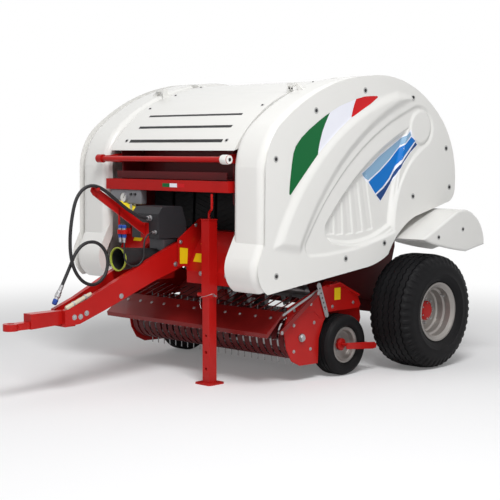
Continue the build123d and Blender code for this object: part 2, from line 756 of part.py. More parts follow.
for name, hand in sides:
    with BuildPart() as barrel:
        with BuildSketch(along_cylinder(hand, barrel_low)):
            Circle(barrel_r)
        extrude(amount=barrel_high - barrel_low)
        with BuildSketch(along_cylinder(hand, barrel_low + 12)):
            Circle(rod_r + pin_gap)
        extrude(amount=barrel_high, mode=Mode.SUBTRACT)
        with BuildSketch(side(hand * (rail_x + wall_thick + seat))):
            with BuildLine():
                Line((cylinder_base[0] - 20, cylinder_base[1]), (cylinder_base[0] - 4, cylinder_base[1] + 80))
                Line((cylinder_base[0] - 4, cylinder_base[1] + 80), (cylinder_base[0] + 28, cylinder_base[1] + 80))
                Line((cylinder_base[0] + 28, cylinder_base[1] + 80), (cylinder_base[0] + 20, cylinder_base[1]))
                Line((cylinder_base[0] + 20, cylinder_base[1]), (cylinder_base[0] - 20, cylinder_base[1]))
            make_face()
            with Locations(cylinder_base):
                Circle(20)
                Circle(cylinder_pin_r + pin_gap, mode=Mode.SUBTRACT)
        extrude(amount=hand * 10)
    save(barrel.part, f"cylinder_barrel_{name}")
    with BuildPart() as rod:
        with BuildSketch(along_cylinder(hand, rod_low)):
            Circle(rod_r)
        extrude(amount=cylinder_long - rod_low - 15)
        with BuildSketch(side(hand * (cylinder_x - eye_half))):
            with Locations(cylinder_top):
                Circle(22)
        extrude(amount=hand * 2 * eye_half)
        # Its pin, which ends against the gate's wall
        pin_foot = gate_wall_x + wall_thick + seat
        with BuildSketch(side(hand * pin_foot)):
            with Locations(cylinder_top):
                Circle(cylinder_pin_r)
        extrude(amount=hand * (cylinder_x + eye_half + 4 - pin_foot))
    save(rod.part, f"cylinder_rod_{name}")

# Hinges of the side covers, standing on the hood's side faces
with BuildPart() as hinges:
    for name, hand in sides:
        for y, plate_foot, plate_head, cover_top in hinge_places:
            plate_in = hood_half + seat
            with BuildSketch(side(hand * plate_in)):
                with Locations((y, (plate_foot + plate_head) / 2)):
                    Rectangle(2 * hinge_half, plate_head - plate_foot)
            extrude(amount=hand * ear_thick)
            for ear in (y - hinge_half, y + hinge_half - ear_thick):
                with BuildSketch(across(ear)):
                    with Locations((hand * (plate_in + ear_thick / 2), cover_hinge_z)):
                        Rectangle(ear_thick, 2 * ear_r)
                    with Locations((hand * cover_hinge_x, cover_hinge_z)):
                        Circle(ear_r)
                    make_hull()
                extrude(amount=-ear_thick)
            with BuildSketch(across(y - hinge_half)):
                with Locations((hand * cover_hinge_x, cover_hinge_z)):
                    Circle(cover_pin_r)
            extrude(amount=-2 * hinge_half)
save(hinges.part, "cover_hinges")

# Feeder: a rotor of star-shaped tines between the pickup and the chamber, in two bearing plates
feeder_half, feeder_reach, feeder_tube_r, feeder_shaft_r = 585, 145, 60, 28
with BuildPart() as feeder_plates:
    for name, hand in sides:
        with BuildSketch(side(hand * (wall_x + wall_thick + seat))):
            with BuildLine():
                Polyline((890, 560), (1030, 560), (1095, 700), (1095, 830), (825, 830), (825, 700), close=True)
            make_face()
            with Locations(feeder_axis):
                Circle(feeder_shaft_r + pin_gap, mode=Mode.SUBTRACT)
        extrude(amount=hand * plate_thick)
save(feeder_plates.part, "feeder_plates")

with BuildPart() as feeder:
    with BuildSketch(side(-(rail_x - 8))):
        with Locations(feeder_axis):
            Circle(feeder_shaft_r)
    extrude(amount=2 * (rail_x - 8))
    with BuildSketch(side(-feeder_half)):
        with Locations(feeder_axis):
            Circle(feeder_tube_r)
    extrude(amount=2 * feeder_half)
    for i in range(8):
        x = (i - 3.5) * 150
        with BuildSketch(side(x - 5)):
            with Locations(feeder_axis):
                with PolarLocations(feeder_reach / 2, 4, start_angle=22.5 * (i % 4)):
                    Rectangle(feeder_reach, 34)
        extrude(amount=10)
save(feeder.part, "feeder_rotor")

# Fenders over the back of the wheels, each a moulded shell on a tube from the rail.
# The outline in side view is counted from the axle, and its rear end from the fender's reach.
fender_in, fender_out, fender_skin, fender_round = 890, 1240, 18, 18
fender_tube_y, fender_tube_z, fender_tube_r = axle_y + 150, wheel_r + 570, 22
fender_tip = (fender_reach, 485)
fender_heel = (377, 442)


def fender_outline(inset):
    """The fender's outline in side view, moved inwards by inset."""
    with BuildSketch(Plane.XY, mode=Mode.PRIVATE) as outline:
        with BuildLine():
            Line((-200, 564), (223, 750))
            ThreePointArc((223, 750), (350, 774), (fender_reach - 142, 728))
            ThreePointArc((fender_reach - 142, 728), (fender_reach - 34, 620), fender_tip)
            Line(fender_tip, fender_heel)
            ThreePointArc(fender_heel, (160, 475), (-54, 519))
            Line((-54, 519), (-200, 564))
        make_face()
        if inset:
            offset(amount=-inset)
    return outline.sketch


with BuildPart() as fenders:
    for name, hand in sides:
        with BuildSketch(side(hand * fender_in)):
            with Locations((axle_y, wheel_r)):
                add(fender_outline(0))
        extrude(amount=hand * (fender_out - fender_in))
        fillet(fenders.faces().sort_by(Axis.X)[-1 if hand > 0 else 0].edges(), fender_round)
        # The hollow underneath, open below
        with BuildSketch(side(hand * (fender_in + fender_skin))):
            for drop in (0, 2 * fender_skin, 5 * fender_skin):
                with Locations((axle_y, wheel_r - drop)):
                    add(fender_outline(fender_skin))
        extrude(amount=hand * (fender_out - fender_in - 2 * fender_skin), mode=Mode.SUBTRACT)
save(fenders.part, "fenders")

with BuildPart() as fender_tubes:
    for name, hand in sides:
        with BuildSketch(side(hand * (rail_x + wall_thick + seat))):
            with Locations((fender_tube_y, fender_tube_z)):
                Circle(fender_tube_r)
        extrude(amount=hand * (fender_in - rail_x - wall_thick - 2 * seat))
save(fender_tubes.part, "fender_tubes")
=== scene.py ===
from math import atan2, cos, hypot, pi, radians, sin

import bmesh
import bpy
import numpy as np
from mathutils import Matrix, Vector
from mathutils.bvhtree import BVHTree


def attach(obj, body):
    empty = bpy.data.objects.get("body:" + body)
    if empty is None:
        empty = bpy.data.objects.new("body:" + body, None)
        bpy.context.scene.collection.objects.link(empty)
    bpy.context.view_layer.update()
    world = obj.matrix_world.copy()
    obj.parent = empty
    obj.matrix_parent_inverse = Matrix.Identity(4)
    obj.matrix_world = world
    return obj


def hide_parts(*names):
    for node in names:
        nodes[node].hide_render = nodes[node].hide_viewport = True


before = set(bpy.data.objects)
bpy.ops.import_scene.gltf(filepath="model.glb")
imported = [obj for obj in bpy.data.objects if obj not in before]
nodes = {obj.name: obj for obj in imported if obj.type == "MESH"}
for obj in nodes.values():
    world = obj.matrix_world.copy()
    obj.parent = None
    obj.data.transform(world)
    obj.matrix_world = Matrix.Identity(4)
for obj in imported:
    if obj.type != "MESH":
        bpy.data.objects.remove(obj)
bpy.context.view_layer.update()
scene = bpy.context.scene

# Camera: at a standing eye height of 1.7 m, seen from the front left of the machine,
# with a lens long enough to keep the drawbar and the rear wheel in one view.
view_turn, view_drop = radians(44.3), radians(4.71)
camera = bpy.data.objects.new("camera", bpy.data.cameras.new("camera"))
camera.data.lens = 90
camera.data.sensor_width = 36
camera.location = (6.859, -6.5765, 1.70)
camera.rotation_euler = (pi / 2 - view_drop, 0, view_turn)
scene.collection.objects.link(camera)
scene.camera = camera
scene.view_settings.view_transform = "Standard"


def node(tree, kind, **values):
    """A node of a finish or of the world, with its plain inputs set."""
    made = tree.nodes.new(f"ShaderNode{kind}")
    for socket, value in values.items():
        made.inputs[socket.replace("_", " ")].default_value = value
    return made


# Floor: plain and pale, with the machine's soft shadow on it.
# It shines to the camera alone, so that it runs into the background.
floor = bmesh.new()
bmesh.ops.create_grid(floor, x_segments=1, y_segments=1, size=60)
floor_mesh = bpy.data.meshes.new("floor")
floor.to_mesh(floor_mesh)
floor.free()
floor_piece = bpy.data.objects.new("floor", floor_mesh)
scene.collection.objects.link(floor_piece)
floor_look = bpy.data.materials.new("floor_look")
floor_look.use_nodes = True
tree = floor_look.node_tree
pale = tree.nodes["Principled BSDF"]
pale.inputs["Base Color"].default_value = (0.92, 0.92, 0.93, 1)
pale.inputs["Roughness"].default_value = 0.9
pale.inputs["Specular IOR Level"].default_value = 0.0
glow = node(tree, "Emission", Strength=1.0)
# Beyond the machine's shadow the floor turns into the white background
reach = node(tree, "TexCoord")
far = node(tree, "VectorMath")
far.operation = "LENGTH"
fade = node(tree, "MapRange", From_Min=2.2, From_Max=7.0, To_Min=0.12)
fade.interpolation_type = "SMOOTHSTEP"
seen = node(tree, "LightPath")
share = node(tree, "Math")
share.operation = "MULTIPLY"
shade = node(tree, "MixShader")
tree.links.new(reach.outputs["Object"], far.inputs[0])
tree.links.new(far.outputs["Value"], fade.inputs["Value"])
tree.links.new(fade.outputs["Result"], share.inputs[0])
tree.links.new(seen.outputs["Is Camera Ray"], share.inputs[1])
tree.links.new(share.outputs[0], shade.inputs["Fac"])
tree.links.new(pale.outputs[0], shade.inputs[1])
tree.links.new(glow.outputs[0], shade.inputs[2])
tree.links.new(shade.outputs[0], tree.nodes["Material Output"].inputs["Surface"])
floor_mesh.materials.append(floor_look)

# Light: a white studio. The background is white to the camera and to reflections,
# and the object is lit by a softer dome and four large lamps.
world = bpy.data.worlds.new("studio")
scene.world = world
world.use_nodes = True
tree = world.node_tree
dome = tree.nodes["Background"]
dome.inputs["Color"].default_value = (1, 1, 1, 1)
dome.inputs["Strength"].default_value = 0.27
backdrop = node(tree, "Background", Color=(1, 1, 1, 1), Strength=1.0)
ray = node(tree, "LightPath")
direct = ray.outputs["Is Camera Ray"]
for kind in ("Is Glossy Ray", "Is Transmission Ray"):
    either = node(tree, "Math")
    either.operation = "ADD"
    either.use_clamp = True
    tree.links.new(direct, either.inputs[0])
    tree.links.new(ray.outputs[kind], either.inputs[1])
    direct = either.outputs[0]
pick = node(tree, "MixShader")
tree.links.new(direct, pick.inputs["Fac"])
tree.links.new(dome.outputs[0], pick.inputs[1])
tree.links.new(backdrop.outputs[0], pick.inputs[2])
tree.links.new(pick.outputs[0], tree.nodes["World Output"].inputs["Surface"])
# Lamps: name, place, the point it faces, size in metres, power in watts
for label, place, target, size, power in (
    ("key", (5.0, -3.5, 8.0), (0.5, 0.2, 1.0), 3.2, 590),
    ("side", (7.5, -5.0, 2.5), (0.6, 0.2, 1.0), 3.0, 60),
    ("front", (-3.0, -8.0, 3.0), (0.0, 0.0, 1.0), 3.0, 70),
    ("top", (-1.5, 1.5, 8.0), (0.0, 0.3, 1.0), 5.0, 60),
):
    lamp = bpy.data.objects.new(label, bpy.data.lights.new(label, "AREA"))
    lamp.data.size = size
    lamp.data.energy = power
    lamp.location = place
    lamp.rotation_euler = (Vector(target) - Vector(place)).to_track_quat("-Z", "Y").to_euler()
    scene.collection.objects.link(lamp)


# Finishes of the painted and moulded pieces. Each has a slight change of tone over the
# surface, dust towards the ground, a fine texture, and edges that are rounded by a hair.
dust_tan = (0.42, 0.36, 0.29, 1)


def finish(
    label, colour, rough, metal=0.0, coat=0.0, tone=0.06, grain=220, bumps=0.05, edge=0.0025, dust=0.12, shine=0.3
):
    """A finish that reads its pattern from where the surface is, in metres."""
    look = bpy.data.materials.new(label)
    look.use_nodes = True
    nt = look.node_tree
    shader = nt.nodes["Principled BSDF"]
    shader.inputs["Metallic"].default_value = metal
    shader.inputs["Coat Weight"].default_value = coat
    shader.inputs["Coat Roughness"].default_value = 0.08
    shader.inputs["Specular IOR Level"].default_value = shine
    where = node(nt, "TexCoord")
    cloud = node(nt, "TexNoise", Scale=3.5, Detail=6)
    nt.links.new(where.outputs["Object"], cloud.inputs["Vector"])
    shades = node(nt, "ValToRGB")
    dark, light = shades.color_ramp.elements
    dark.position, light.position = 0.3, 0.72
    dark.color = (*[c * (1 - tone) for c in colour], 1)
    light.color = (*[min(1, c * (1 + tone)) for c in colour], 1)
    nt.links.new(cloud.outputs["Fac"], shades.inputs["Fac"])
    # Dust lies thicker near the ground
    height = node(nt, "SeparateXYZ")
    nt.links.new(where.outputs["Object"], height.inputs["Vector"])
    low = node(nt, "MapRange", From_Min=1.1, From_Max=0.0, To_Max=dust)
    nt.links.new(height.outputs["Z"], low.inputs["Value"])
    speck = node(nt, "Math")
    speck.operation = "MULTIPLY"
    nt.links.new(low.outputs["Result"], speck.inputs[0])
    nt.links.new(cloud.outputs["Fac"], speck.inputs[1])
    dusty = node(nt, "Mix")
    dusty.data_type = "RGBA"
    dusty.inputs["B"].default_value = dust_tan
    nt.links.new(speck.outputs[0], dusty.inputs["Factor"])
    nt.links.new(shades.outputs["Color"], dusty.inputs["A"])
    nt.links.new(dusty.outputs["Result"], shader.inputs["Base Color"])
    # Roughness varies with the same cloud
    sheen = node(nt, "MapRange", To_Min=rough * 0.92, To_Max=min(1, rough * 1.1))
    nt.links.new(cloud.outputs["Fac"], sheen.inputs["Value"])
    nt.links.new(sheen.outputs["Result"], shader.inputs["Roughness"])
    # Fine texture over edges that are rounded by a hair
    fine = node(nt, "TexNoise", Scale=grain, Detail=2)
    nt.links.new(where.outputs["Object"], fine.inputs["Vector"])
    bump = node(nt, "Bump", Strength=bumps, Distance=0.002)
    nt.links.new(fine.outputs["Fac"], bump.inputs["Height"])
    if edge:
        round_edge = node(nt, "Bevel", Radius=edge)
        round_edge.samples = 4
        nt.links.new(round_edge.outputs["Normal"], bump.inputs["Normal"])
    nt.links.new(bump.outputs["Normal"], shader.inputs["Normal"])
    return look


# Hoses: two rubber hoses from the gearbox's cover, held up ahead of the machine by its arm.
# The main one hangs in a loop and ends in a quick plug; the thin one ends in a coupler.
# Lengths along the machine are counted from the front face of its cross beam, in metres.
front = -0.3955


def fasten(label, form, body, *looks, crease=35):
    """Turn a finished shape into a piece that moves with a body."""
    mesh = bpy.data.meshes.new(label)
    form.to_mesh(mesh)
    form.free()
    for look in looks:
        mesh.materials.append(look)
    mesh.shade_smooth()
    mesh.set_sharp_from_angle(angle=radians(crease))
    thing = bpy.data.objects.new(label, mesh)
    scene.collection.objects.link(thing)
    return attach(thing, body)


def turn(form, outline, place, way, steps=24, look=0, angle=0.0):
    """Spin an outline of (distance, radius) once about the axis through a place."""
    place, way = Vector(place), Vector(way).normalized()
    out = way.orthogonal().normalized()
    out.rotate(Matrix.Rotation(angle, 3, way))
    points = [form.verts.new(place + way * along + out * r) for along, r in outline]
    edges = [form.edges.new(pair) for pair in zip(points, points[1:])]
    faces = set(form.faces)
    bmesh.ops.spin(
        form, geom=points + edges, cent=place, axis=way, angle=2 * pi, steps=steps, use_merge=True
    )
    corners = list({corner for face in form.faces if face not in faces for corner in face.verts})
    bmesh.ops.remove_doubles(form, verts=corners, dist=1e-5)
    made = [face for face in form.faces if face not in faces]
    for face in made:
        face.material_index = look
    bmesh.ops.recalc_face_normals(form, faces=made)


def pin(form, low, high, r, place, way, steps=24, look=0):
    """A plain pin between two distances along its axis."""
    turn(form, ((low, 0.0), (low, r), (high, r), (high, 0.0)), place, way, steps, look)


def slab(form, corners, shift, look=0):
    """Extrude the flat face between corners by a shift."""
    face = form.faces.new([form.verts.new(corner) for corner in corners])
    faces = set(form.faces) - {face}
    pushed = bmesh.ops.extrude_face_region(form, geom=[face], use_keep_orig=True)["geom"]
    moved = [item for item in pushed if isinstance(item, bmesh.types.BMVert)]
    bmesh.ops.translate(form, verts=moved, vec=Vector(shift))
    made = [item for item in form.faces if item not in faces]
    for item in made:
        item.material_index = look
    bmesh.ops.recalc_face_normals(form, faces=made)


def oblong(left, right, low, high):
    """The corners of an oblong, in order."""
    return ((left, low), (right, low), (right, high), (left, high))


hose_rubber = finish("hose_rubber", (0.020, 0.020, 0.022), 0.5, tone=0.15, bumps=0.25, edge=0, dust=0.05)
zinc = finish("zinc", (0.42, 0.42, 0.43), 0.34, metal=0.85, tone=0.12, bumps=0.12, edge=0.0008)
blue_plastic = finish("blue_plastic", (0.01, 0.06, 0.34), 0.36, coat=0.1, tone=0.08, edge=0.001)
main_route = (
    (0.060, -0.240, 1.190), (0.060, -0.315, 1.190), (0.044, -0.430, 1.248), (0.032, -0.545, 1.335),
    (0.030, -0.655, 1.412), (0.030, -0.748, 1.440), (0.030, -0.834, 1.412), (0.030, -0.893, 1.340),
    (0.030, -0.925, 1.225), (0.030, -0.945, 1.090), (0.028, -0.940, 0.955), (0.024, -0.900, 0.840),
    (0.018, -0.815, 0.756), (0.010, -0.710, 0.734), (0.002, -0.618, 0.790), (-0.002, -0.582, 0.885),
    (-0.006, -0.608, 0.982), (-0.009, -0.688, 1.042), (-0.012, -0.788, 1.037), (-0.014, -0.865, 0.973),
    (-0.014, -0.910, 0.885), (-0.014, -0.950, 0.812), (-0.014, -0.988, 0.745),
)
thin_route = (
    (0.115, -0.240, 1.090), (0.115, -0.300, 1.090), (0.115, -0.349, 1.040), (0.112, -0.350, 0.975),
    (0.109, -0.350, 0.905), (0.105, -0.400, 0.856), (0.101, -0.470, 0.856), (0.099, -0.520, 0.905),
    (0.098, -0.520, 0.970), (0.098, -0.520, 1.030),
)


def strand(label, route, r, look, sides=5, cuts=12, capped=True):
    """A round strand that follows its route's points."""
    line = bpy.data.curves.new(label, "CURVE")
    line.dimensions = "3D"
    line.bevel_depth = r
    line.bevel_resolution = sides
    line.resolution_u = cuts
    line.use_fill_caps = capped
    run = line.splines.new("NURBS")
    run.points.add(len(route) - 1)
    for point, (x, y, z) in zip(run.points, route):
        point.co = (x, front + y, z, 1)
    run.order_u = 3
    run.use_endpoint_u = True
    line.materials.append(look)
    thing = bpy.data.objects.new(label, line)
    scene.collection.objects.link(thing)
    return thing


main_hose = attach(strand("hose_main", main_route, 0.012, hose_rubber), "chassis")
thin_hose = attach(strand("hose_thin", thin_route, 0.006, hose_rubber), "chassis")
# The plug: a crimped sleeve, a hexagon, the knurled body and its blue dust cap
plug_at = Vector(main_route[-1]) + Vector((0, front, 0))
plug_way = Vector(main_route[-1]) - Vector(main_route[-2])
plug = bmesh.new()
pin(plug, 0.033, 0.050, 0.018, plug_at, plug_way, 6)
for outline, look in (
    (((-0.012, 0.0122), (-0.010, 0.0145), (0.030, 0.0145), (0.033, 0.0122)), 0),
    (((0.050, 0.0), (0.050, 0.015), (0.054, 0.0205), (0.078, 0.0205), (0.082, 0.016), (0.100, 0.016), (0.100, 0.0)), 0),
    (((0.096, 0.0165), (0.097, 0.019), (0.128, 0.0175), (0.134, 0.013), (0.136, 0.0)), 1),
):
    turn(plug, outline, plug_at, plug_way, look=look)
plug = fasten("hose_plug", plug, "chassis", zinc, blue_plastic)
# Couplers: a zinc nipple below, a blue sleeve with two rings and a grey cap
coupler_x, coupler_y = (0.058, 0.098), front - 0.520
couplers = bmesh.new()
for x in coupler_x:
    for outline, look in (
        (((0.0, 0.0), (0.0, 0.0105), (0.018, 0.0105), (0.018, 0.013), (0.034, 0.013)), 0),
        (((0.034, 0.0), (0.034, 0.015), (0.040, 0.0162), (0.052, 0.0162), (0.054, 0.0145), (0.060, 0.0145)), 1),
        (((0.060, 0.0145), (0.062, 0.0158), (0.100, 0.0158), (0.102, 0.0140), (0.104, 0.0)), 0),
        (((0.101, 0.0), (0.101, 0.0165), (0.118, 0.0165), (0.124, 0.012), (0.124, 0.0)), 1),
    ):
        turn(couplers, outline, (x, coupler_y, 1.030), (0, 0, 1), look=look)
couplers = fasten("hose_couplers", couplers, "chassis", zinc, blue_plastic)

# Hose holder: the peg that the main hose lies over and a bent plate with a ring for each
# coupler, cut from flat bar and bolted to the arm; a brass elbow stands where each hose starts
red_paint = finish("red_paint", (0.44, 0.006, 0.005), 0.30, coat=0.06, tone=0.10, dust=0.03, shine=0.18)
peg_at, holder_back, holder_low = (0.0, front - 0.706, 1.406), front - 0.488, 1.09
holder_edge = (
    (-0.006, holder_low), (0.12, holder_low), (0.12, 1.13), (0.006, 1.13), (0.006, 1.27), (-0.006, 1.27),
)
holder = bmesh.new()
turn(holder, ((0.0, 0.008), (0.050, 0.008), (0.054, 0.004), (0.054, 0.0)), peg_at, (1, 0, 0))
pin(holder, 0.046, 0.050, 0.014, peg_at, (1, 0, 0))
slab(holder, [(x, holder_back, z) for x, z in holder_edge], (0, 0.008, 0))
ring_line = ((0.0, 0.0165), (0.0, 0.0235), (0.030, 0.0235), (0.030, 0.0165), (0.0, 0.0165))
for x in coupler_x:
    turn(holder, ring_line, (x, coupler_y, holder_low), (0, 0, 1))
    web = oblong(x - 0.006, x + 0.006, front - 0.500, holder_back)
    slab(holder, [(a, b, holder_low) for a, b in web], (0, 0, 0.030))
fasten("hose_holder", holder, "chassis", red_paint)
elbows = bmesh.new()
for (x, y, z), r in ((main_route[0], 0.012), (thin_route[0], 0.006)):
    elbow = ((0.0, r + 0.008), (0.008, r + 0.008), (0.010, r + 0.005), (0.032, r + 0.004), (0.034, r))
    turn(elbows, elbow, (x, front + y, z), (0, -1, 0))
fasten("hose_elbows", elbows, "chassis", zinc)


# Side covers: deep tubs of moulded plastic in gel coat. Each has a skin here that carries the
# mould's relief: a swept ridge, the leaf below it, a pocket with louvres and a round boss.
# An outline's row is the start of a run and the middle of its arc, at (length, height).
cover_edge = (
    ((-0.020, 0.690), None), ((1.021, 0.806), (1.188, 0.838)), ((1.310, 0.890), (1.446, 1.052)),
    ((1.650, 1.166), None), ((2.070, 1.262), (2.138, 1.302)), ((2.165, 1.380), (2.121, 1.699)),
    ((1.981, 1.915), (1.580, 2.170)), ((1.071, 2.223), (0.560, 2.112)), ((0.120, 1.862), (0.008, 1.726)),
    ((-0.040, 1.560), None), ((-0.045, 1.035), (-0.072, 0.985)), ((-0.100, 0.930), (-0.098, 0.780)),
)
leaf_edge = (
    ((0.400, 1.040), (0.815, 1.533)), ((1.600, 1.990), (1.740, 2.010)), ((1.850, 1.940), (1.880, 1.820)),
    ((1.780, 1.700), (1.500, 1.440)), ((1.410, 1.050), (0.930, 0.950)), ((0.440, 0.925), (0.392, 0.960)),
)
pocket_edge = (
    ((0.615, 1.130), (0.990, 1.495)), ((1.540, 1.812), (1.575, 1.800)), ((1.570, 1.770), (1.440, 1.420)),
    ((1.385, 1.105), (1.060, 1.000)), ((0.690, 1.018), (0.619, 1.055)),
)
ridge_edge = (
    ((0.060, 1.000), (0.520, 1.650)), ((1.420, 2.110), None), ((1.640, 2.070), (0.830, 1.620)),
    ((0.330, 0.960), None),
)
# Louvres: head and foot of each one's middle line, at (length, height)
louvres = (
    ((0.700, 1.195), (0.700, 1.070)),
    ((0.786, 1.290), (0.800, 1.062)),
    ((0.875, 1.365), (0.913, 1.060)),
    ((0.968, 1.430), (1.030, 1.066)),
    ((1.062, 1.485), (1.146, 1.080)),
)
cover_face, wall_end, edge_round = 1.034, 0.930, 0.080
leaf_deep, pocket_deep, louvre_deep, louvre_half, ridge_high = 0.030, 0.028, 0.017, 0.046, 0.030
# How far inside its outline each form starts, and how wide its soft edge is
leaf_in, ridge_in, pocket_in = 0.012, 0.020, 0.012
leaf_soft, ridge_soft, pocket_soft, boss_soft = 0.036, 0.075, 0.028, 0.024
boss_at, boss_r = (1.728, 1.850), 0.132
relief_lean, skin_gap = (0.018, -0.002), 0.0015


def arc(start, middle, end, steps):
    """Points on the arc from start through middle to end, without the end."""
    (ax, ay), (bx, by), (cx, cy) = start, middle, end
    twice = 2 * (ax * (by - cy) + bx * (cy - ay) + cx * (ay - by))
    a, b, c = ax * ax + ay * ay, bx * bx + by * by, cx * cx + cy * cy
    ux = (a * (by - cy) + b * (cy - ay) + c * (ay - by)) / twice
    uy = (a * (cx - bx) + b * (ax - cx) + c * (bx - ax)) / twice
    first, half, last = (atan2(y - uy, x - ux) for x, y in (start, middle, end))
    sweep = sum((later - sooner + pi) % (2 * pi) - pi for sooner, later in ((first, half), (half, last)))
    r = hypot(ax - ux, ay - uy)
    turns = [first + sweep * i / steps for i in range(steps)]
    return [(ux + r * cos(turned), uy + r * sin(turned)) for turned in turns]


def loop(rows, steps=14):
    """The closed outline that a table of runs gives."""
    points = []
    for (start, middle), (end, _) in zip(rows, rows[1:] + rows[:1]):
        points += arc(start, middle, end, steps) if middle else [start]
    return points


def depth_in(rows, places):
    """How deep each place lies inside an outline; negative outside it."""
    corner = np.array(loop(rows))
    run = np.roll(corner, -1, 0) - corner
    deep = np.empty(len(places))
    chunk = 4000
    for i in range(0, len(places), chunk):
        part = places[i : i + chunk]
        gap = part[:, None] - corner
        along = np.clip((gap * run).sum(2) / (run**2).sum(1), 0, 1)
        miss = gap - along[..., None] * run
        above = (corner[:, 1] > part[:, None, 1], corner[:, 1] + run[:, 1] > part[:, None, 1])
        height = np.where(run[:, 1] == 0, 1, run[:, 1])
        ahead = gap[..., 0] < run[:, 0] * gap[..., 1] / height
        odd = ((above[0] != above[1]) & ahead).sum(1) % 2 == 1
        deep[i : i + chunk] = np.hypot(miss[..., 0], miss[..., 1]).min(1) * np.where(odd, 1, -1)
    return deep


def rise(deep, wide):
    """A soft step across an edge, from 0 outside to 1 inside."""
    t = np.clip(deep / wide + 0.5, 0, 1)
    return t * t * (3 - 2 * t)


def relief(places):
    """How far the mould's face stands out or in at places of (length, height)."""
    places = places + relief_lean
    leaf = rise(depth_in(leaf_edge, places) - leaf_in, leaf_soft)
    ridge = rise(depth_in(ridge_edge, places) - ridge_in, ridge_soft)
    pocket = rise(depth_in(pocket_edge, places) - pocket_in, pocket_soft)
    boss = rise(boss_r - np.hypot(*(places - boss_at).T), boss_soft)
    height = ridge_high * ridge * (1 - leaf) - leaf_deep * leaf * (1 - boss) - pocket_deep * pocket
    for head, foot in louvres:
        long = hypot(foot[0] - head[0], foot[1] - head[1])
        down = np.array(((foot[0] - head[0]) / long, (foot[1] - head[1]) / long))
        along = (places - head) @ down
        over = (places - head) @ np.array((-down[1], down[0]))
        ramp = np.clip((over + louvre_half) / (2 * louvre_half - 0.008), 0, 1)
        ramp *= rise(louvre_half - over, 0.008) * (over > -louvre_half)
        height -= louvre_deep * ramp * rise(along, 0.02) * rise(long - along, 0.012) * pocket
    return height


def cut_grid(form, geom, spans, step):
    """Cut faces into a grid of lines a step apart, over spans of (axis, low, high)."""
    for axis, low, high in spans:
        way = Vector([float(i == axis) for i in range(3)])
        for i in range(1, int((high - low) / step) + 1):
            place = way * (low + i * step)
            geom = bmesh.ops.bisect_plane(form, geom=geom, dist=1e-6, plane_co=place, plane_no=way)["geom"]
    return geom


def everything(faces):
    """Faces with their edges and corners."""
    edges = {edge for face in faces for edge in face.edges}
    corners = {corner for face in faces for corner in face.verts}
    return list(faces) + list(edges) + list(corners)


def surface(*names):
    """The faces of CAD nodes, to lay things on."""
    shape = bmesh.new()
    for name in names:
        shape.from_mesh(nodes[name].data)
    tree = BVHTree.FromBMesh(shape)
    shape.free()
    return tree


def mirrored(form):
    """A copy for the machine's other side, with its faces turned outwards again."""
    twin = form.copy()
    bmesh.ops.scale(twin, vec=(-1, 1, 1), verts=twin.verts)
    bmesh.ops.reverse_faces(twin, faces=twin.faces)
    return twin


skin = bmesh.new()
face = skin.faces.new([skin.verts.new((wall_end, front + y, z)) for y, z in loop(cover_edge, 20)])
face.normal_update()
if face.normal.x < 0:
    face.normal_flip()
ring_steps = 8
for i in range(ring_steps):
    here, after = (pi / 2 * k / ring_steps for k in (i, i + 1))
    bmesh.ops.inset_region(
        skin, faces=[face], thickness=edge_round * (cos(here) - cos(after)), use_even_offset=True,
        depth=(cover_face - wall_end) * (sin(after) - sin(here)),
    )
grid = 0.010
cut_grid(skin, everything([face]), ((1, front - 0.1, front + 2.17), (2, 0.69, 2.23)), grid)
# Half way between those lines run finer ones, over the leaf's lower part
fine = []
for item in skin.faces:
    _, y, z = item.calc_center_median()
    if item.normal.x > 0.99 and 0.56 < y - front < 1.60 and 0.97 < z < 1.86:
        fine.append(item)
cut_grid(skin, everything(fine), ((1, front + 0.555, front + 1.61), (2, 0.965, 1.87)), grid)
spots = list(skin.verts)
places = np.array([(spot.co.y - front, spot.co.z) for spot in spots])
for spot, height in zip(spots, relief(places)):
    spot.co.x += height * min(1, (spot.co.x - wall_end) / (cover_face - wall_end))
# The skin never dips below the cover that it lies on
under_tree = surface("side_cover_left")
for spot in spots:
    hit, _, _, _ = under_tree.ray_cast(Vector((2, spot.co.y, spot.co.z)), Vector((-1, 0, 0)))
    if hit is not None and hit.x > wall_end:
        spot.co.x = max(spot.co.x, hit.x + skin_gap)
skin.normal_update()
cover_tree = BVHTree.FromBMesh(skin)
white_shell = finish(
    "white_shell", (0.80, 0.795, 0.77), 0.26, coat=0.12, tone=0.008, bumps=0.02, edge=0, dust=0.06
)
for name, form in (("left", skin), ("right", mirrored(skin))):
    fasten(f"cover_skin_{name}", form, f"cover_{name}", white_shell, crease=60)


# Films on the covers: coloured foils laid over the moulded relief, with a pale edge between
# them. The green, white and red patches stand in front, three blue bands behind in the leaf.
def drop(tree, start, way):
    """Where a line from start meets a surface, and the surface's direction there."""
    hit, normal, _, _ = tree.ray_cast(Vector(start), Vector(way))
    if normal.dot(Vector(way)) > 0:
        normal = -normal
    return hit, normal


def sticker(form, tree, corners, way, lift, look=0, step=0.02):
    """Lay a flat outline on a surface, along a direction, as thin foil."""
    faces = set(form.faces)
    sheet = form.faces.new([form.verts.new(corner) for corner in corners])
    spans = [(axis, min(row), max(row)) for axis, row in enumerate(zip(*corners))]
    cut_grid(form, everything([sheet]), spans, step)
    made = [item for item in form.faces if item not in faces]
    made = bmesh.ops.triangulate(form, faces=made)["faces"]
    for spot in {corner for item in made for corner in item.verts}:
        hit, normal = drop(tree, spot.co, way)
        spot.co = hit + normal * lift
    for item in made:
        item.material_index = look
        item.normal_update()
        if item.normal.dot(Vector(way)) > 0:
            item.normal_flip()


def foil(label, colour):
    """A foil's finish: an even colour under clear film."""
    return finish(label, colour, 0.34, coat=0.05, tone=0.02, bumps=0.01, edge=0, dust=0.02, shine=0.2)


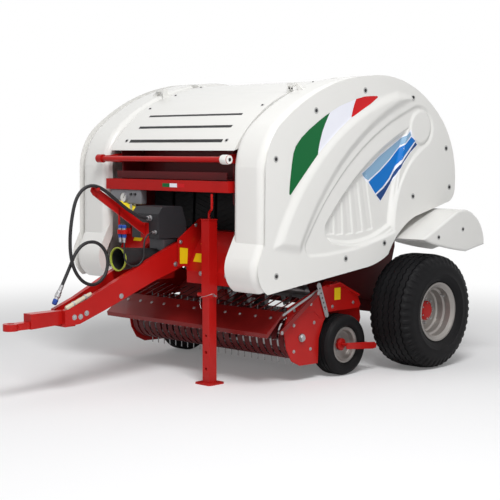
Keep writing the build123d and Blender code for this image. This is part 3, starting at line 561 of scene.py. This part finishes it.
pale_foil = foil("pale_foil", (0.86, 0.87, 0.95))
green_foil = foil("green_foil", (0.0, 0.125, 0.030))
red_foil = foil("red_foil", (0.60, 0.006, 0.010))
light_blue_foil = foil("light_blue_foil", (0.25, 0.42, 0.60))
blue_foil = foil("blue_foil", (0.0, 0.165, 0.56))
dark_blue_foil = foil("dark_blue_foil", (0.012, 0.055, 0.20))
green_edge = (
    (0.622, 1.944), (0.588, 1.928), (0.507, 1.885), (0.401, 1.822), (0.322, 1.765), (0.264, 1.708),
    (0.238, 1.656), (0.222, 1.579), (0.209, 1.492), (0.199, 1.414), (0.197, 1.375), (0.203, 1.368),
    (0.212, 1.371), (0.246, 1.405), (0.323, 1.481), (0.401, 1.559), (0.495, 1.649), (0.501, 1.682),
    (0.515, 1.735), (0.541, 1.806), (0.574, 1.868),
)
white_edge = (
    (0.622, 1.944), (0.725, 1.991), (0.808, 2.017), (0.915, 2.048), (0.894, 2.008), (0.873, 1.954),
    (0.860, 1.913), (0.722, 1.825), (0.584, 1.722), (0.495, 1.649), (0.501, 1.682), (0.515, 1.735),
    (0.541, 1.806), (0.574, 1.868),
)
red_edge = (
    (0.915, 2.048), (1.008, 2.068), (1.096, 2.075), (1.155, 2.077), (1.168, 2.072), (1.165, 2.066),
    (1.080, 2.017), (0.976, 1.969), (0.891, 1.927), (0.860, 1.913), (0.873, 1.954), (0.894, 2.008),
)
bands_edge = (
    (1.036, 1.507), (1.146, 1.570), (1.235, 1.631), (1.340, 1.687), (1.431, 1.734), (1.539, 1.792),
    (1.585, 1.835), (1.600, 1.790), (1.650, 1.740), (1.680, 1.716), (1.587, 1.653), (1.501, 1.572),
    (1.439, 1.487), (1.390, 1.421), (1.322, 1.341), (1.262, 1.286),
)
light_edge = (
    (1.044, 1.502), (1.148, 1.562), (1.237, 1.623), (1.342, 1.679), (1.433, 1.726), (1.541, 1.784),
    (1.583, 1.820), (1.594, 1.789), (1.528, 1.733), (1.463, 1.686), (1.372, 1.612), (1.251, 1.529),
    (1.155, 1.474), (1.114, 1.452),
)
mid_edge = (
    (1.122, 1.440), (1.160, 1.464), (1.256, 1.518), (1.377, 1.602), (1.468, 1.678), (1.532, 1.725),
    (1.599, 1.778), (1.642, 1.745), (1.572, 1.684), (1.513, 1.632), (1.444, 1.560), (1.368, 1.466),
    (1.292, 1.401), (1.204, 1.351),
)
dark_edge = (
    (1.213, 1.341), (1.303, 1.391), (1.379, 1.454), (1.455, 1.549), (1.524, 1.620), (1.583, 1.674),
    (1.650, 1.737), (1.672, 1.718), (1.583, 1.659), (1.496, 1.577), (1.434, 1.492), (1.385, 1.427),
    (1.318, 1.348), (1.266, 1.296),
)
foils = (pale_foil, green_foil, red_foil, light_blue_foil, blue_foil, dark_blue_foil)
films = bmesh.new()
for edge, lift, look in (
    (white_edge, 0.0008, 0), (green_edge, 0.0014, 1), (red_edge, 0.0014, 2), (bands_edge, 0.0008, 0),
    (light_edge, 0.0020, 3), (mid_edge, 0.0020, 4), (dark_edge, 0.0020, 5),
):
    sticker(films, cover_tree, [(2, front + y, z) for y, z in edge], (-1, 0, 0), lift, look, 0.006)
for name, form in (("left", films), ("right", mirrored(films))):
    fasten(f"cover_films_{name}", form, f"cover_{name}", *foils)


# Cover screws: dark domed heads with a hexagon socket, each in a pressed dimple of the cover
# with a pale ring round it. The same rows hold on both sides.
screw_dark = finish("screw_dark", (0.05, 0.05, 0.053), 0.3, metal=0.5, tone=0.1, edge=0)
dimple_white = finish("dimple_white", (0.50, 0.50, 0.49), 0.3, coat=0.3, tone=0.03, bumps=0.02, edge=0)
cover_screws = (
    (0.063, 1.617), (0.477, 1.956), (1.022, 2.114), (1.600, 2.080), (2.040, 1.690), (2.090, 1.381),
    (1.611, 1.321), (1.262, 0.978), (0.810, 0.888), (0.069, 0.812),
)


def dome_screw(form, place, way, r, head=0, ring=None):
    """A domed screw head with a hexagon socket, and the dimpled ring it sits in."""
    if ring is not None:
        dimple = ((-0.002, 2.0), (0.0006, 1.9), (0.0012, 1.6), (0.0, 1.0), (-0.002, 0.8))
        turn(form, [(along, share * r) for along, share in dimple], place, way, 28, ring)
    dome = ((-0.002, 1.0), (0.003, 0.98), (0.0055, 0.80), (0.0068, 0.48), (0.0030, 0.44), (0.0030, 0.0))
    turn(form, [(along, share * r) for along, share in dome], place, way, 24, head)


for name, hand in (("left", 1), ("right", -1)):
    screws = bmesh.new()
    for y, z in cover_screws:
        hit, normal, _, _ = cover_tree.ray_cast(Vector((2, front + y, z)), Vector((-1, 0, 0)))
        hit.x *= hand
        normal.x *= hand
        dome_screw(screws, hit, normal, 0.0125, 0, 1)
    fasten(f"cover_screws_{name}", screws, f"cover_{name}", screw_dark, dimple_white)


# Hood and front: the hood's screws and hinge bolts, the white knob of the front bar, and the
# small tricolour foil on the cross member
def hex_bolt(form, place, way, r, look=0, angle=0.3):
    """A hexagon head with its chamfer on a washer."""
    turn(form, ((-0.003, 1.45 * r), (0.0015, 1.45 * r), (0.0015, 0.9 * r)), place, way, 20, look)
    turn(form, ((0.001, r), (0.0055, r), (0.0072, 0.86 * r), (0.0074, 0.0)), place, way, 6, look, angle)


hood_tree = surface("hood")
trim = bmesh.new()
for hand in (1, -1):
    hit, normal = drop(hood_tree, (hand * 0.545, front - 0.5, 1.747), (0, 1, 0))
    dome_screw(trim, hit, normal, 0.0095, 0, 1)
    for y, z in ((0.570, 2.125), (0.930, 2.170)):
        for shift in (-0.014, 0.014):
            dome_screw(trim, Vector((hand * 0.6803, front + y + shift, z)), Vector((hand, 0, 0)), 0.006)
    for y in (0.35, 0.62, 0.90):
        hit, normal = drop(hood_tree, (hand * 0.61, front + y, 2.6), (0, 0, -1))
        dome_screw(trim, hit, normal, 0.0085, 0, 1)
fasten("hood_screws", trim, "chassis", screw_dark, dimple_white)
# Thin dark strips of the rubber finish lie over the hood's three slots: painted shade, the dark of the open slots
slot_half, slot_wide = 0.505, 0.018
slot_shade_strips = bmesh.new()
for y in (0.050, 0.146, 0.252):
    edge = oblong(-slot_half, slot_half, front + y - slot_wide / 2, front + y + slot_wide / 2)
    sticker(slot_shade_strips, hood_tree, [(a, b, 2.5) for a, b in edge], (0, 0, -1), 0.0008, step=0.2)
fasten("hood_slot_painted_shade", slot_shade_strips, "chassis", hose_rubber)
knob_at, knob_long = Vector((0.655, front - 0.090, 1.613)), 0.0645
knob_line = (
    (-0.006, 0.0), (-0.006, 0.0325), (0.0, 0.034), (0.050, 0.034), (0.062, 0.030), (knob_long, 0.018), (knob_long, 0.0),
)
knobs = bmesh.new()
turn(knobs, knob_line, knob_at, (1, 0, 0), 40)
hex_bolt(knobs, knob_at + Vector((knob_long, 0, 0)), (1, 0, 0), 0.009, 1)
fasten("front_bar_knob", knobs, "chassis", white_shell, screw_dark)
member_tree = surface("cross_member")
tricolour = bmesh.new()
for i in range(3):
    left = -0.02 + 0.08 * i
    corners = [(x, front - 0.3, z) for x, z in oblong(left, left + 0.08, 1.408, 1.436)]
    sticker(tricolour, member_tree, corners, (0, 1, 0), 0.0008, i)
fasten("member_film", tricolour, "chassis", green_foil, pale_foil, red_foil)


# Belts of the fixed half: rubber with fabric inside, vulcanised with slanting ribs for grip.
# The ribs stand on the run that shows below the cross member.
rubber = finish(
    "rubber", (0.012, 0.012, 0.013), 0.62, tone=0.2, grain=420, bumps=0.25, edge=0, dust=0.04, shine=0.2
)
belt_count, belt_pitch, rib_count, rib_pitch, rib_high = 5, 0.235, 19, 0.042, 0.0045
belt_foot, belt_head = Vector((0, front + 0.3468, 1.014)), Vector((0, front + 0.3868, 1.804))
belt_way = (belt_head - belt_foot).normalized()
belt_out = Vector((0, -belt_way.z, belt_way.y))
ribs = bmesh.new()
for i in range(belt_count):
    middle = (i - (belt_count - 1) / 2) * belt_pitch
    for j in range(rib_count):
        place = belt_foot + belt_way * (0.02 + j * rib_pitch) + Vector((middle, 0, 0)) - belt_out * 0.001
        along = Vector((0.092, 0, 0)) + belt_way * (0.030 if i % 2 else -0.030)
        across = belt_way * 0.0045
        edge = oblong(-1, 1, -1, 1)
        slab(ribs, [place + along * a + across * b for a, b in edge], belt_out * rib_high)
fasten("belt_ribs", ribs, "chassis", rubber)

# Cross beam and drawbar: bolts of bright zinc, and blank yellow warning plates of foil. The
# guard of the shaft ends in a yellow-green ring.
yellow_foil = foil("yellow_foil", (0.86, 0.60, 0.01))
beam_tree = surface("cross_beam")
gusset_tree = surface("drawbar_gussets")
drawbar_tree = surface("drawbar")
plates = bmesh.new()
label = ((-0.046, 0.852), (0.028, 0.848), (0.034, 0.960), (-0.046, 0.970))
sticker(plates, gusset_tree, [(0.5, front + y, z) for y, z in label], (-1, 0, 0), 0.0008)
for left, right, low, high in ((0.185, 0.315, 0.862, 0.922), (-0.565, -0.470, 0.975, 1.055)):
    corners = [(x, front - 0.4, z) for x, z in oblong(left, right, low, high)]
    sticker(plates, beam_tree, corners, (0, 1, 0), 0.0008)
for left, wide, low in ((0.190, 0.066, 0.988), (-0.640, 0.050, 0.860)):
    triangle = ((left, low), (left + wide, low), (left + wide / 2, low + 0.9 * wide))
    sticker(plates, beam_tree, [(x, front - 0.4, z) for x, z in triangle], (0, 1, 0), 0.0008)
fasten("beam_plates", plates, "chassis", yellow_foil)
gusset_bolts = {
    1: ((0.117, 1.128), (-0.035, 1.010)),
    -1: ((0.117, 1.128), (0.020, 0.905), (-0.030, 1.000)),
}
bolts = bmesh.new()
for hand in (1, -1):
    for x, z in ((0.296, 0.785), (0.560, 0.785), (0.640, 0.745)):
        hit, normal = drop(beam_tree, (hand * x, front - 0.5, z), (0, 1, 0))
        hex_bolt(bolts, hit, normal, 0.012)
    for y, z in gusset_bolts[hand]:
        hit, normal = drop(gusset_tree, (hand * 0.5, front + y, z), (-hand, 0, 0))
        hex_bolt(bolts, hit, normal, 0.011)
    for y, z in ((-0.955, 0.540), (-0.905, 0.540), (-0.855, 0.560), (-0.560, 0.655), (-0.070, 0.850)):
        hit, normal = drop(drawbar_tree, (hand * 0.5, front + y, z), (-hand, 0, 0))
        hex_bolt(bolts, hit, normal, 0.013)
fasten("drawbar_bolts", bolts, "chassis", zinc)
guard_green = finish("guard_green", (0.42, 0.50, 0.06), 0.45, tone=0.06, bumps=0.1, edge=0)
ring = bmesh.new()
ring_line = (
    (-0.002, 0.0785), (-0.002, 0.0860), (0.010, 0.0855), (0.012, 0.0840), (0.012, 0.0780), (-0.002, 0.0785),
)
turn(ring, ring_line, (0, front - 0.500, 0.905), (0, 1, 0), 48)
fasten("guard_ring", ring, "chassis", guard_green)

# Jack: a cross pin with a red grip and a spring wire, and a cream lever clipped to the
# drawbar's top edge
jack_x, jack_y, jack_pin_z = 0.430, front - 0.0103, 0.640
jack_bits = bmesh.new()
turn(
    jack_bits, ((-0.062, 0.0), (-0.060, 0.007), (0.070, 0.007), (0.074, 0.0)),
    (jack_x, jack_y, jack_pin_z), (1, 0, 0), 16,
)
turn(
    jack_bits, ((-0.016, 0.0), (-0.016, 0.0125), (-0.060, 0.0155), (-0.068, 0.012), (-0.070, 0.0)),
    (jack_x - 0.048, jack_y, jack_pin_z), (1, 0, 0), 20, 1,
)
fasten("jack_pin", jack_bits, "chassis", zinc, red_paint)
wire_route = (
    (0.068, 0.0, 0.640), (0.074, -0.020, 0.660), (0.062, -0.050, 0.655), (0.020, -0.056, 0.640),
    (-0.040, -0.054, 0.628), (-0.058, -0.034, 0.600), (-0.050, -0.046, 0.560), (-0.030, -0.050, 0.545),
)
wire_route = [(jack_x + x, jack_y - front + y, z) for x, y, z in wire_route]
bent = strand("jack_wire_line", wire_route, 0.0022, zinc, 3, 10, False)
wire_mesh = bpy.data.meshes.new_from_object(bent)
bpy.data.objects.remove(bent)
wire_piece = bpy.data.objects.new("jack_wire", wire_mesh)
scene.collection.objects.link(wire_piece)
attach(wire_piece, "chassis")
cream = finish("cream", (0.62, 0.56, 0.42), 0.45, coat=0.1, tone=0.08, edge=0)
lever = bmesh.new()
lever_foot, lever_head = Vector((0.072, front - 1.020, 0.606)), Vector((0.082, front - 0.805, 0.694))
lever_way, lever_long = lever_head - lever_foot, (lever_head - lever_foot).length
lever_line = (
    (0.0, 0.0), (0.001, 0.012), (0.012, 0.016), (lever_long - 0.03, 0.013), (lever_long - 0.005, 0.011),
    (lever_long, 0.0),
)
turn(lever, lever_line, lever_foot, lever_way, 20)
for share in (0.3, 0.75):
    clip = ((-0.006, 0.0130), (-0.006, 0.0175), (0.006, 0.0175), (0.006, 0.0130))
    turn(lever, clip, lever_foot.lerp(lever_head, share), lever_way, 20, 1)
fasten("drawbar_lever", lever, "chassis", cream, zinc)

# Control panel: a moulded grey box below the cross member, with a round dial behind a bezel,
# and the yellow lever that sets the bale's density
panel_grey = finish("panel_grey", (0.20, 0.20, 0.215), 0.45, tone=0.08, bumps=0.15)
dial_face = finish("dial_face", (0.72, 0.72, 0.70), 0.4, coat=0.6, tone=0.02, bumps=0.02, edge=0)
box_at, box_size = Vector((-0.450, front - 0.015, 1.3247)), (0.360, 0.060, 0.110)
dial_at = (-0.468, front - 0.045, 1.3190)
ahead = (0, -1, 0)
box = bmesh.new()
made = bmesh.ops.create_cube(box, size=1)
bmesh.ops.scale(box, vec=box_size, verts=made["verts"])
bmesh.ops.translate(box, vec=box_at, verts=made["verts"])
bmesh.ops.bevel(
    box, geom=list(box.edges), offset=0.010, segments=4, profile=0.5, affect="EDGES", material=-1
)
bezel = ((-0.004, 0.045), (0.010, 0.044), (0.013, 0.041), (0.013, 0.036), (0.006, 0.035), (-0.004, 0.035))
turn(box, bezel, dial_at, ahead, 40, 0)
turn(box, ((0.0, 0.0355), (0.0060, 0.0355), (0.0060, 0.0)), dial_at, ahead, 40, 1)
needle = ((-0.4715, 1.3125), (-0.4665, 1.3125), (-0.4465, 1.3445), (-0.4505, 1.3465))
slab(box, [(x, dial_at[1] - 0.0062, z) for x, z in needle], (0, -0.001, 0), 2)
for x in (-0.380, -0.335):
    turn(box, ((0.0, 0.0), (0.0, 0.011), (0.014, 0.009), (0.016, 0.0)), (x, dial_at[1], 1.345), ahead, 24, 2)
for z in (1.381, 1.270):
    pin(box, -0.010, 0.010, 0.006, (box_at.x, box_at.y, z), (0, 0, 1), 12, 2)
fasten("control_panel", box, "chassis", panel_grey, dial_face, screw_dark)
yellow_grip = finish("yellow_grip", (0.86, 0.68, 0.02), 0.4, coat=0.1, tone=0.05, edge=0)
density = bmesh.new()
grip_foot, grip_head = Vector((-0.25, front - 0.045, 1.216)), Vector((-0.52, front - 0.045, 1.262))
grip_way, grip_long = grip_head - grip_foot, (grip_head - grip_foot).length
grip_line = (
    (0.0, 0.0), (0.0, 0.017), (0.004, 0.020), (0.05, 0.018), (grip_long - 0.10, 0.026), (grip_long - 0.01, 0.038),
    (grip_long, 0.036), (grip_long, 0.031), (grip_long - 0.02, 0.024), (grip_long - 0.03, 0.0),
)
turn(density, grip_line, grip_foot, grip_way, 28)
pivot = grip_foot.lerp(grip_head, 0.42)
pin(density, -0.022, 0.022, 0.012, pivot, (0, 1, 0), 20, 1)
for y in (-0.021, 0.017):
    ear = oblong(pivot.x - 0.014, pivot.x + 0.014, pivot.z - 0.012, 1.272)
    slab(density, [(x, pivot.y + y, z) for x, z in ear], (0, 0.004, 0), 1)
fasten("density_lever", density, "chassis", yellow_grip, zinc)


# Ground tyres: black rubber carcasses with zigzag grooves between their ribs, notched
# shoulders and a smooth sidewall with a rim ridge, as implement tyres are moulded
axle_y, wheel_r, wheel_x = 1.640, 0.440, 1.075
waves, wave_steps = 46, 6
tyre_black = finish(
    "tyre_black", (0.006, 0.006, 0.007), 0.55, tone=0.25, grain=300, bumps=0.3, edge=0, dust=0.015, shine=0.12
)
sidewall = (
    (0.160, 0.2002), (0.160, 0.228), (0.166, 0.232), (0.176, 0.243), (0.186, 0.256), (0.1925, 0.268),
    (0.1955, 0.285), (0.1985, 0.290), (0.1985, 0.296), (0.1960, 0.301), (0.1970, 0.330), (0.1950, 0.355),
    (0.1905, 0.372), (0.1850, 0.388), (0.1780, 0.400), (0.1660, 0.415), (0.1520, 0.4270),
)
groove_half, groove_deep = 0.006, 0.012


def crown(x):
    """The tread's radius at a distance from the tyre's middle."""
    return min(wheel_r, wheel_r - 0.012 * (x - 0.078) / 0.072)


half = list(sidewall)
for groove in (0.129, 0.078, 0.026):
    half += [
        (groove + groove_half, crown(groove + groove_half)),
        (groove + 0.6 * groove_half, crown(groove) - groove_deep),
        (groove - 0.6 * groove_half, crown(groove) - groove_deep),
        (groove - groove_half, crown(groove - groove_half)),
    ]
tyre_line = [(-x, r) for x, r in half] + half[::-1]
for name, hand in (("left", 1), ("right", -1)):
    tyre = bmesh.new()
    hub_at = Vector((hand * wheel_x, front + axle_y, wheel_r))
    turn(tyre, tyre_line + tyre_line[:1], hub_at, (hand, 0, 0), waves * wave_steps)
    for spot in tyre.verts:
        out = spot.co - hub_at
        side, r, phase = abs(out.x), hypot(out.y, out.z), atan2(out.z, out.y) / (2 * pi) * waves % 1
        if r > 0.408 and side < 0.158:
            zig = (abs(phase - 0.5) * 4 - 1) * 0.0075 * min(1, (r - 0.408) / 0.010)
            spot.co.x += zig * min(1, (0.158 - side) / 0.012)
        if 0.380 < r < 0.4275 and side > 0.146 and phase < 0.42:
            spot.co.x -= 0.006 * (1 if out.x > 0 else -1)
            spot.co.y -= out.y / r * 0.004
            spot.co.z -= out.z / r * 0.004
    tyre = fasten(f"tyre_tread_{name}", tyre, f"wheel_{name}", tyre_black, crease=30)
    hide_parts(f"tyre_{name}")

# Gauge tyres: small ribbed tyres of the same rubber
gauge_y, gauge_r, gauge_x = 0.932, 0.228, 0.844
gauge_half = [
    (0.060, 0.1182), (0.060, 0.135), (0.070, 0.1405), (0.084, 0.151), (0.0885, 0.162), (0.090, 0.178),
    (0.0895, 0.192), (0.086, 0.205), (0.079, 0.215), (0.070, 0.2195),
]
for groove in (0.050, 0.018):
    gauge_half += [
        (groove + 0.005, 0.2265), (groove + 0.003, 0.2205), (groove - 0.003, 0.2205), (groove - 0.005, 0.2275),
    ]
gauge_line = [(-x, r) for x, r in gauge_half] + gauge_half[::-1]
for name, hand in (("left", 1), ("right", -1)):
    tyre = bmesh.new()
    turn(tyre, gauge_line + gauge_line[:1], (hand * gauge_x, front + gauge_y, gauge_r), (hand, 0, 0), 96)
    tyre = fasten(f"gauge_tread_{name}", tyre, f"gauge_wheel_{name}", tyre_black, crease=30)
    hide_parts(f"gauge_tyre_{name}")


def around(r, turned):
    """A step outwards from a wheel's axis."""
    return Vector((0, r * cos(turned), r * sin(turned)))


# Wheel nuts and valves: plated nuts on the discs, the hub cap's screws, and short valve stems
for name, hand in (("left", 1), ("right", -1)):
    nuts = bmesh.new()
    hub_at = Vector((hand * wheel_x, front + axle_y, wheel_r))
    for i in range(8):
        turned = 2 * pi * i / 8
        place = hub_at + Vector((hand * 0.035, 0, 0)) + around(0.095, turned)
        nut = ((0.002, 0.0110), (0.013, 0.0110), (0.0155, 0.0090), (0.0155, 0.0060))
        turn(nuts, ((0.0, 0.0135), (0.003, 0.0125), (0.004, 0.011)), place, (hand, 0, 0), 20)
        turn(nuts, nut, place, (hand, 0, 0), 6, 0, turned)
        turn(nuts, ((0.010, 0.0060), (0.021, 0.0060), (0.022, 0.0050), (0.022, 0.0)), place, (hand, 0, 0), 14)
    for i in range(6):
        place = hub_at + Vector((hand * 0.062, 0, 0)) + around(0.060, 2 * pi * (i + 0.5) / 6)
        turn(nuts, ((-0.004, 0.0050), (0.006, 0.0050), (0.0075, 0.0042), (0.0075, 0.0)), place, (hand, 0, 0), 6)
    turn(
        nuts, ((0.0, 0.005), (0.030, 0.004), (0.032, 0.0045), (0.042, 0.0045), (0.042, 0.0)),
        hub_at + Vector((hand * 0.095, 0.130, 0.118)), (hand, -0.25, -0.25), 14,
    )
    fasten(f"wheel_nuts_{name}", nuts, f"wheel_{name}", zinc)
    nuts = bmesh.new()
    for i in range(5):
        turned = 2 * pi * i / 5 + 0.3
        place = Vector((hand * (gauge_x + 0.014), front + gauge_y, gauge_r)) + around(0.054, turned)
        hex_bolt(nuts, place, (hand, 0, 0), 0.0065, 0, turned)
    fasten(f"gauge_nuts_{name}", nuts, f"gauge_wheel_{name}", zinc)

# Pickup: a folded shield on each end plate reaching back over the gauge wheel, with its levers
# of plated and painted flat bar, the windguard's bolts, and a blank yellow plate
guard_red = finish("guard_red", (0.20, 0.006, 0.006), 0.34, coat=0.15, tone=0.12, dust=0.04, shine=0.25)
shield_x, shield_thick = 0.8583, 0.004
shield_edge = (
    (0.346, 0.553), (0.615, 0.647), (0.775, 0.687), (0.897, 0.701), (1.128, 0.590), (1.168, 0.510),
    (1.150, 0.484), (0.782, 0.484), (0.776, 0.452), (0.700, 0.452), (0.640, 0.500), (0.346, 0.500),
)


def link(form, foot, head, foot_r, head_r, x, thick, look=0):
    """A flat bar with two round ends, standing in side view from foot to head."""
    lean = atan2(head[1] - foot[1], head[0] - foot[0])
    corners = []
    for (y, z), r, start in ((foot, foot_r, lean + pi / 2), (head, head_r, lean - pi / 2)):
        corners += [Vector((x, front + y, z)) + around(r, start + pi * i / 10) for i in range(11)]
    slab(form, corners, (thick, 0, 0), look)


for name, hand in (("left", 1), ("right", -1)):
    shield = bmesh.new()
    slab(shield, [(hand * shield_x, front + y, z) for y, z in shield_edge], (hand * shield_thick, 0, 0))
    lip = ((0.897, 0.701), (1.128, 0.590), (1.122, 0.578), (0.894, 0.688), (0.777, 0.674), (0.775, 0.687))
    slab(shield, [(hand * shield_x, front + y, z) for y, z in lip], (hand * 0.030, 0, 0))
    fasten(f"pickup_shield_{name}", shield, "pickup", red_paint)
levers = bmesh.new()
link(levers, (0.251, 0.388), (0.640, 0.640), 0.017, 0.017, 0.890, 0.008)
link(levers, (0.278, 0.512), (0.645, 0.655), 0.008, 0.008, 0.8803, 0.008, 1)
link(levers, (0.676, 0.690), (0.764, 0.466), 0.020, 0.020, 0.8683, 0.006, 1)
for y, z, r in ((0.251, 0.388, 0.008), (0.640, 0.640, 0.009)):
    place = (0.890, front + y, z)
    turn(levers, ((-0.026, 0.0), (-0.026, r), (0.014, r), (0.016, 0.0)), place, (1, 0, 0), 16, 1)
    turn(levers, ((0.008, r), (0.008, 1.7 * r), (0.011, 1.7 * r), (0.011, r)), place, (1, 0, 0), 20, 1)
stub = ((0.0, 0.0), (0.0, 0.009), (0.030, 0.009), (0.032, 0.0))
turn(levers, stub, (shield_x, front + 0.745, 0.514), (1, 0, 0), 16, 1)
for i in range(5):
    place = (0.8683, front + 0.684 + 0.014 * i, 0.668 - 0.036 * i)
    turn(levers, ((-0.0004, 0.0075), (0.0065, 0.0075), (0.0065, 0.0)), place, (1, 0, 0), 16, 2)
fasten("pickup_levers", levers, "pickup", guard_red, zinc, screw_dark)
guard_tree = surface("windguard")
plate_tree = surface("pickup_plates")
guard_bolts = bmesh.new()
for x in (-0.760, -0.613, -0.479, -0.335, -0.173, 0.005, 0.170, 0.339, 0.492, 0.650, 0.800):
    hit, normal = drop(guard_tree, (x, front + 0.238, 1.2), (0, 0, -1))
    hex_bolt(guard_bolts, hit, normal, 0.009)
for hand in (1, -1):
    for y, z in ((0.420, 0.420), (0.420, 0.230), (0.600, 0.230), (0.640, 0.420)):
        hit, normal = drop(plate_tree, (hand * 1.2, front + y, z), (-hand, 0, 0))
        hex_bolt(guard_bolts, hit, normal, 0.009)
    for y, z in ((0.420, 0.530), (0.600, 0.560), (0.840, 0.520), (1.080, 0.530)):
        hex_bolt(guard_bolts, (hand * (shield_x + shield_thick), front + y, z), (hand, 0, 0), 0.009)
    shaft_nut = ((-0.002, 0.024), (0.010, 0.024), (0.013, 0.020), (0.013, 0.0))
    turn(guard_bolts, shaft_nut, (hand * 0.870, front + 0.500, 0.322), (hand, 0, 0), 6)
fasten("pickup_bolts", guard_bolts, "pickup", zinc)
warning = bmesh.new()
plate_edge = oblong(0.862, 0.931, 0.566, 0.656)
slab(warning, [(0.8625, front + y, z) for y, z in plate_edge], (0.0005, 0, 0))
fasten("shield_plate", warning, "pickup", yellow_foil)

# Tailgate and fenders: the rear skin is screwed to both side plates along its edges, and each
# fender to its tubes
gate_tree = surface("gate_skin")
gate_bolts = bmesh.new()
for hand in (1, -1):
    for turned in (8, 22, 36, 50, 64, 78):
        way = Vector((0, cos(radians(turned)), sin(radians(turned))))
        start = Vector((hand * 0.622, front + 1.30, 1.36)) + way * 1.6
        hit, normal = drop(gate_tree, start, -way)
        dome_screw(gate_bolts, hit, normal, 0.009, 0, 1)
fasten("gate_screws", gate_bolts, "tailgate", screw_dark, dimple_white)
fender_tree = surface("fenders")
fender_bolts = bmesh.new()
for hand in (1, -1):
    for y, z in ((1.640, 1.013), (1.960, 1.060)):
        hit, normal = drop(fender_tree, (hand * 2, front + y, z), (-hand, 0, 0))
        dome_screw(fender_bolts, hit, normal, 0.010, 0, 1)
fasten("fender_screws", fender_bolts, "chassis", screw_dark, dimple_white)


# Finishes of the CAD pieces: gel coat, red paint, the same red darkened as painted shade for the pieces
# inside and under the machine, rim enamel, steel, chrome, moulded plastic and castings
def wear(look, *names):
    """Give CAD nodes a finish in place of their plain one."""
    for name in names:
        mesh = nodes[name].data
        mesh.materials.clear()
        mesh.materials.append(look)


grey_plastic = finish(
    "grey_plastic", (0.024, 0.024, 0.027), 0.5, tone=0.1, bumps=0.2, dust=0.04, shine=0.25
)
# The red paint darkened as painted shade, for the pieces that lie inside and under the machine
painted_shade_red = finish("painted_shade_red", (0.10, 0.004, 0.006), 0.42, coat=0.05, tone=0.15, dust=0.04, shine=0.2)
rim_paint = finish("rim_paint", (0.32, 0.30, 0.285), 0.36, metal=0.6, tone=0.06, dust=0.05)
steel = finish("steel", (0.40, 0.40, 0.41), 0.36, metal=0.9, tone=0.12, bumps=0.12)
chrome = finish("chrome", (0.80, 0.80, 0.82), 0.10, metal=1.0, tone=0.02, bumps=0.01, dust=0.02)
black_plastic = finish("black_plastic", (0.018, 0.018, 0.020), 0.45, tone=0.1, bumps=0.2)
casting = finish("casting", (0.12, 0.12, 0.13), 0.6, tone=0.15, grain=160, bumps=0.4)
wear(white_shell, "side_cover_left", "side_cover_right", "fenders", "hood", "gate_skin", "cover_hinges")
wear(
    red_paint,
    "cross_beam", "drawbar", "drawbar_gussets", "tow_hitch", "jack_tube", "jack_leg", "jack_crank",
    "hose_arm", "front_bar", "cross_member", "gate_walls", "gate_frame", "pickup_plates", "pickup_arms",
    "gauge_arms", "hub_left", "hub_right", "gauge_hub_left", "gauge_hub_right",
    "cylinder_barrel_left", "cylinder_barrel_right", "fender_tubes", "pickup_pins",
)
wear(guard_red, "windguard")
# Painted shade: the rails, axle and inner pieces wear the darkened red
wear(painted_shade_red, "chassis_rails", "axle", "chamber_walls", "net_box", "pickup_strippers", "feeder_plates")
wear(rim_paint, "rim_left", "rim_right", "gauge_rim_left", "gauge_rim_right")
wear(steel, "chamber_rollers", "gate_rollers", "gate_hinge_tube", "pickup_reel", "feeder_rotor")
wear(chrome, "cylinder_rod_left", "cylinder_rod_right")
wear(grey_plastic, "gearbox_cover")
wear(black_plastic, "pto_guard")
wear(casting, "gearbox")
wear(rubber, "front_belts")
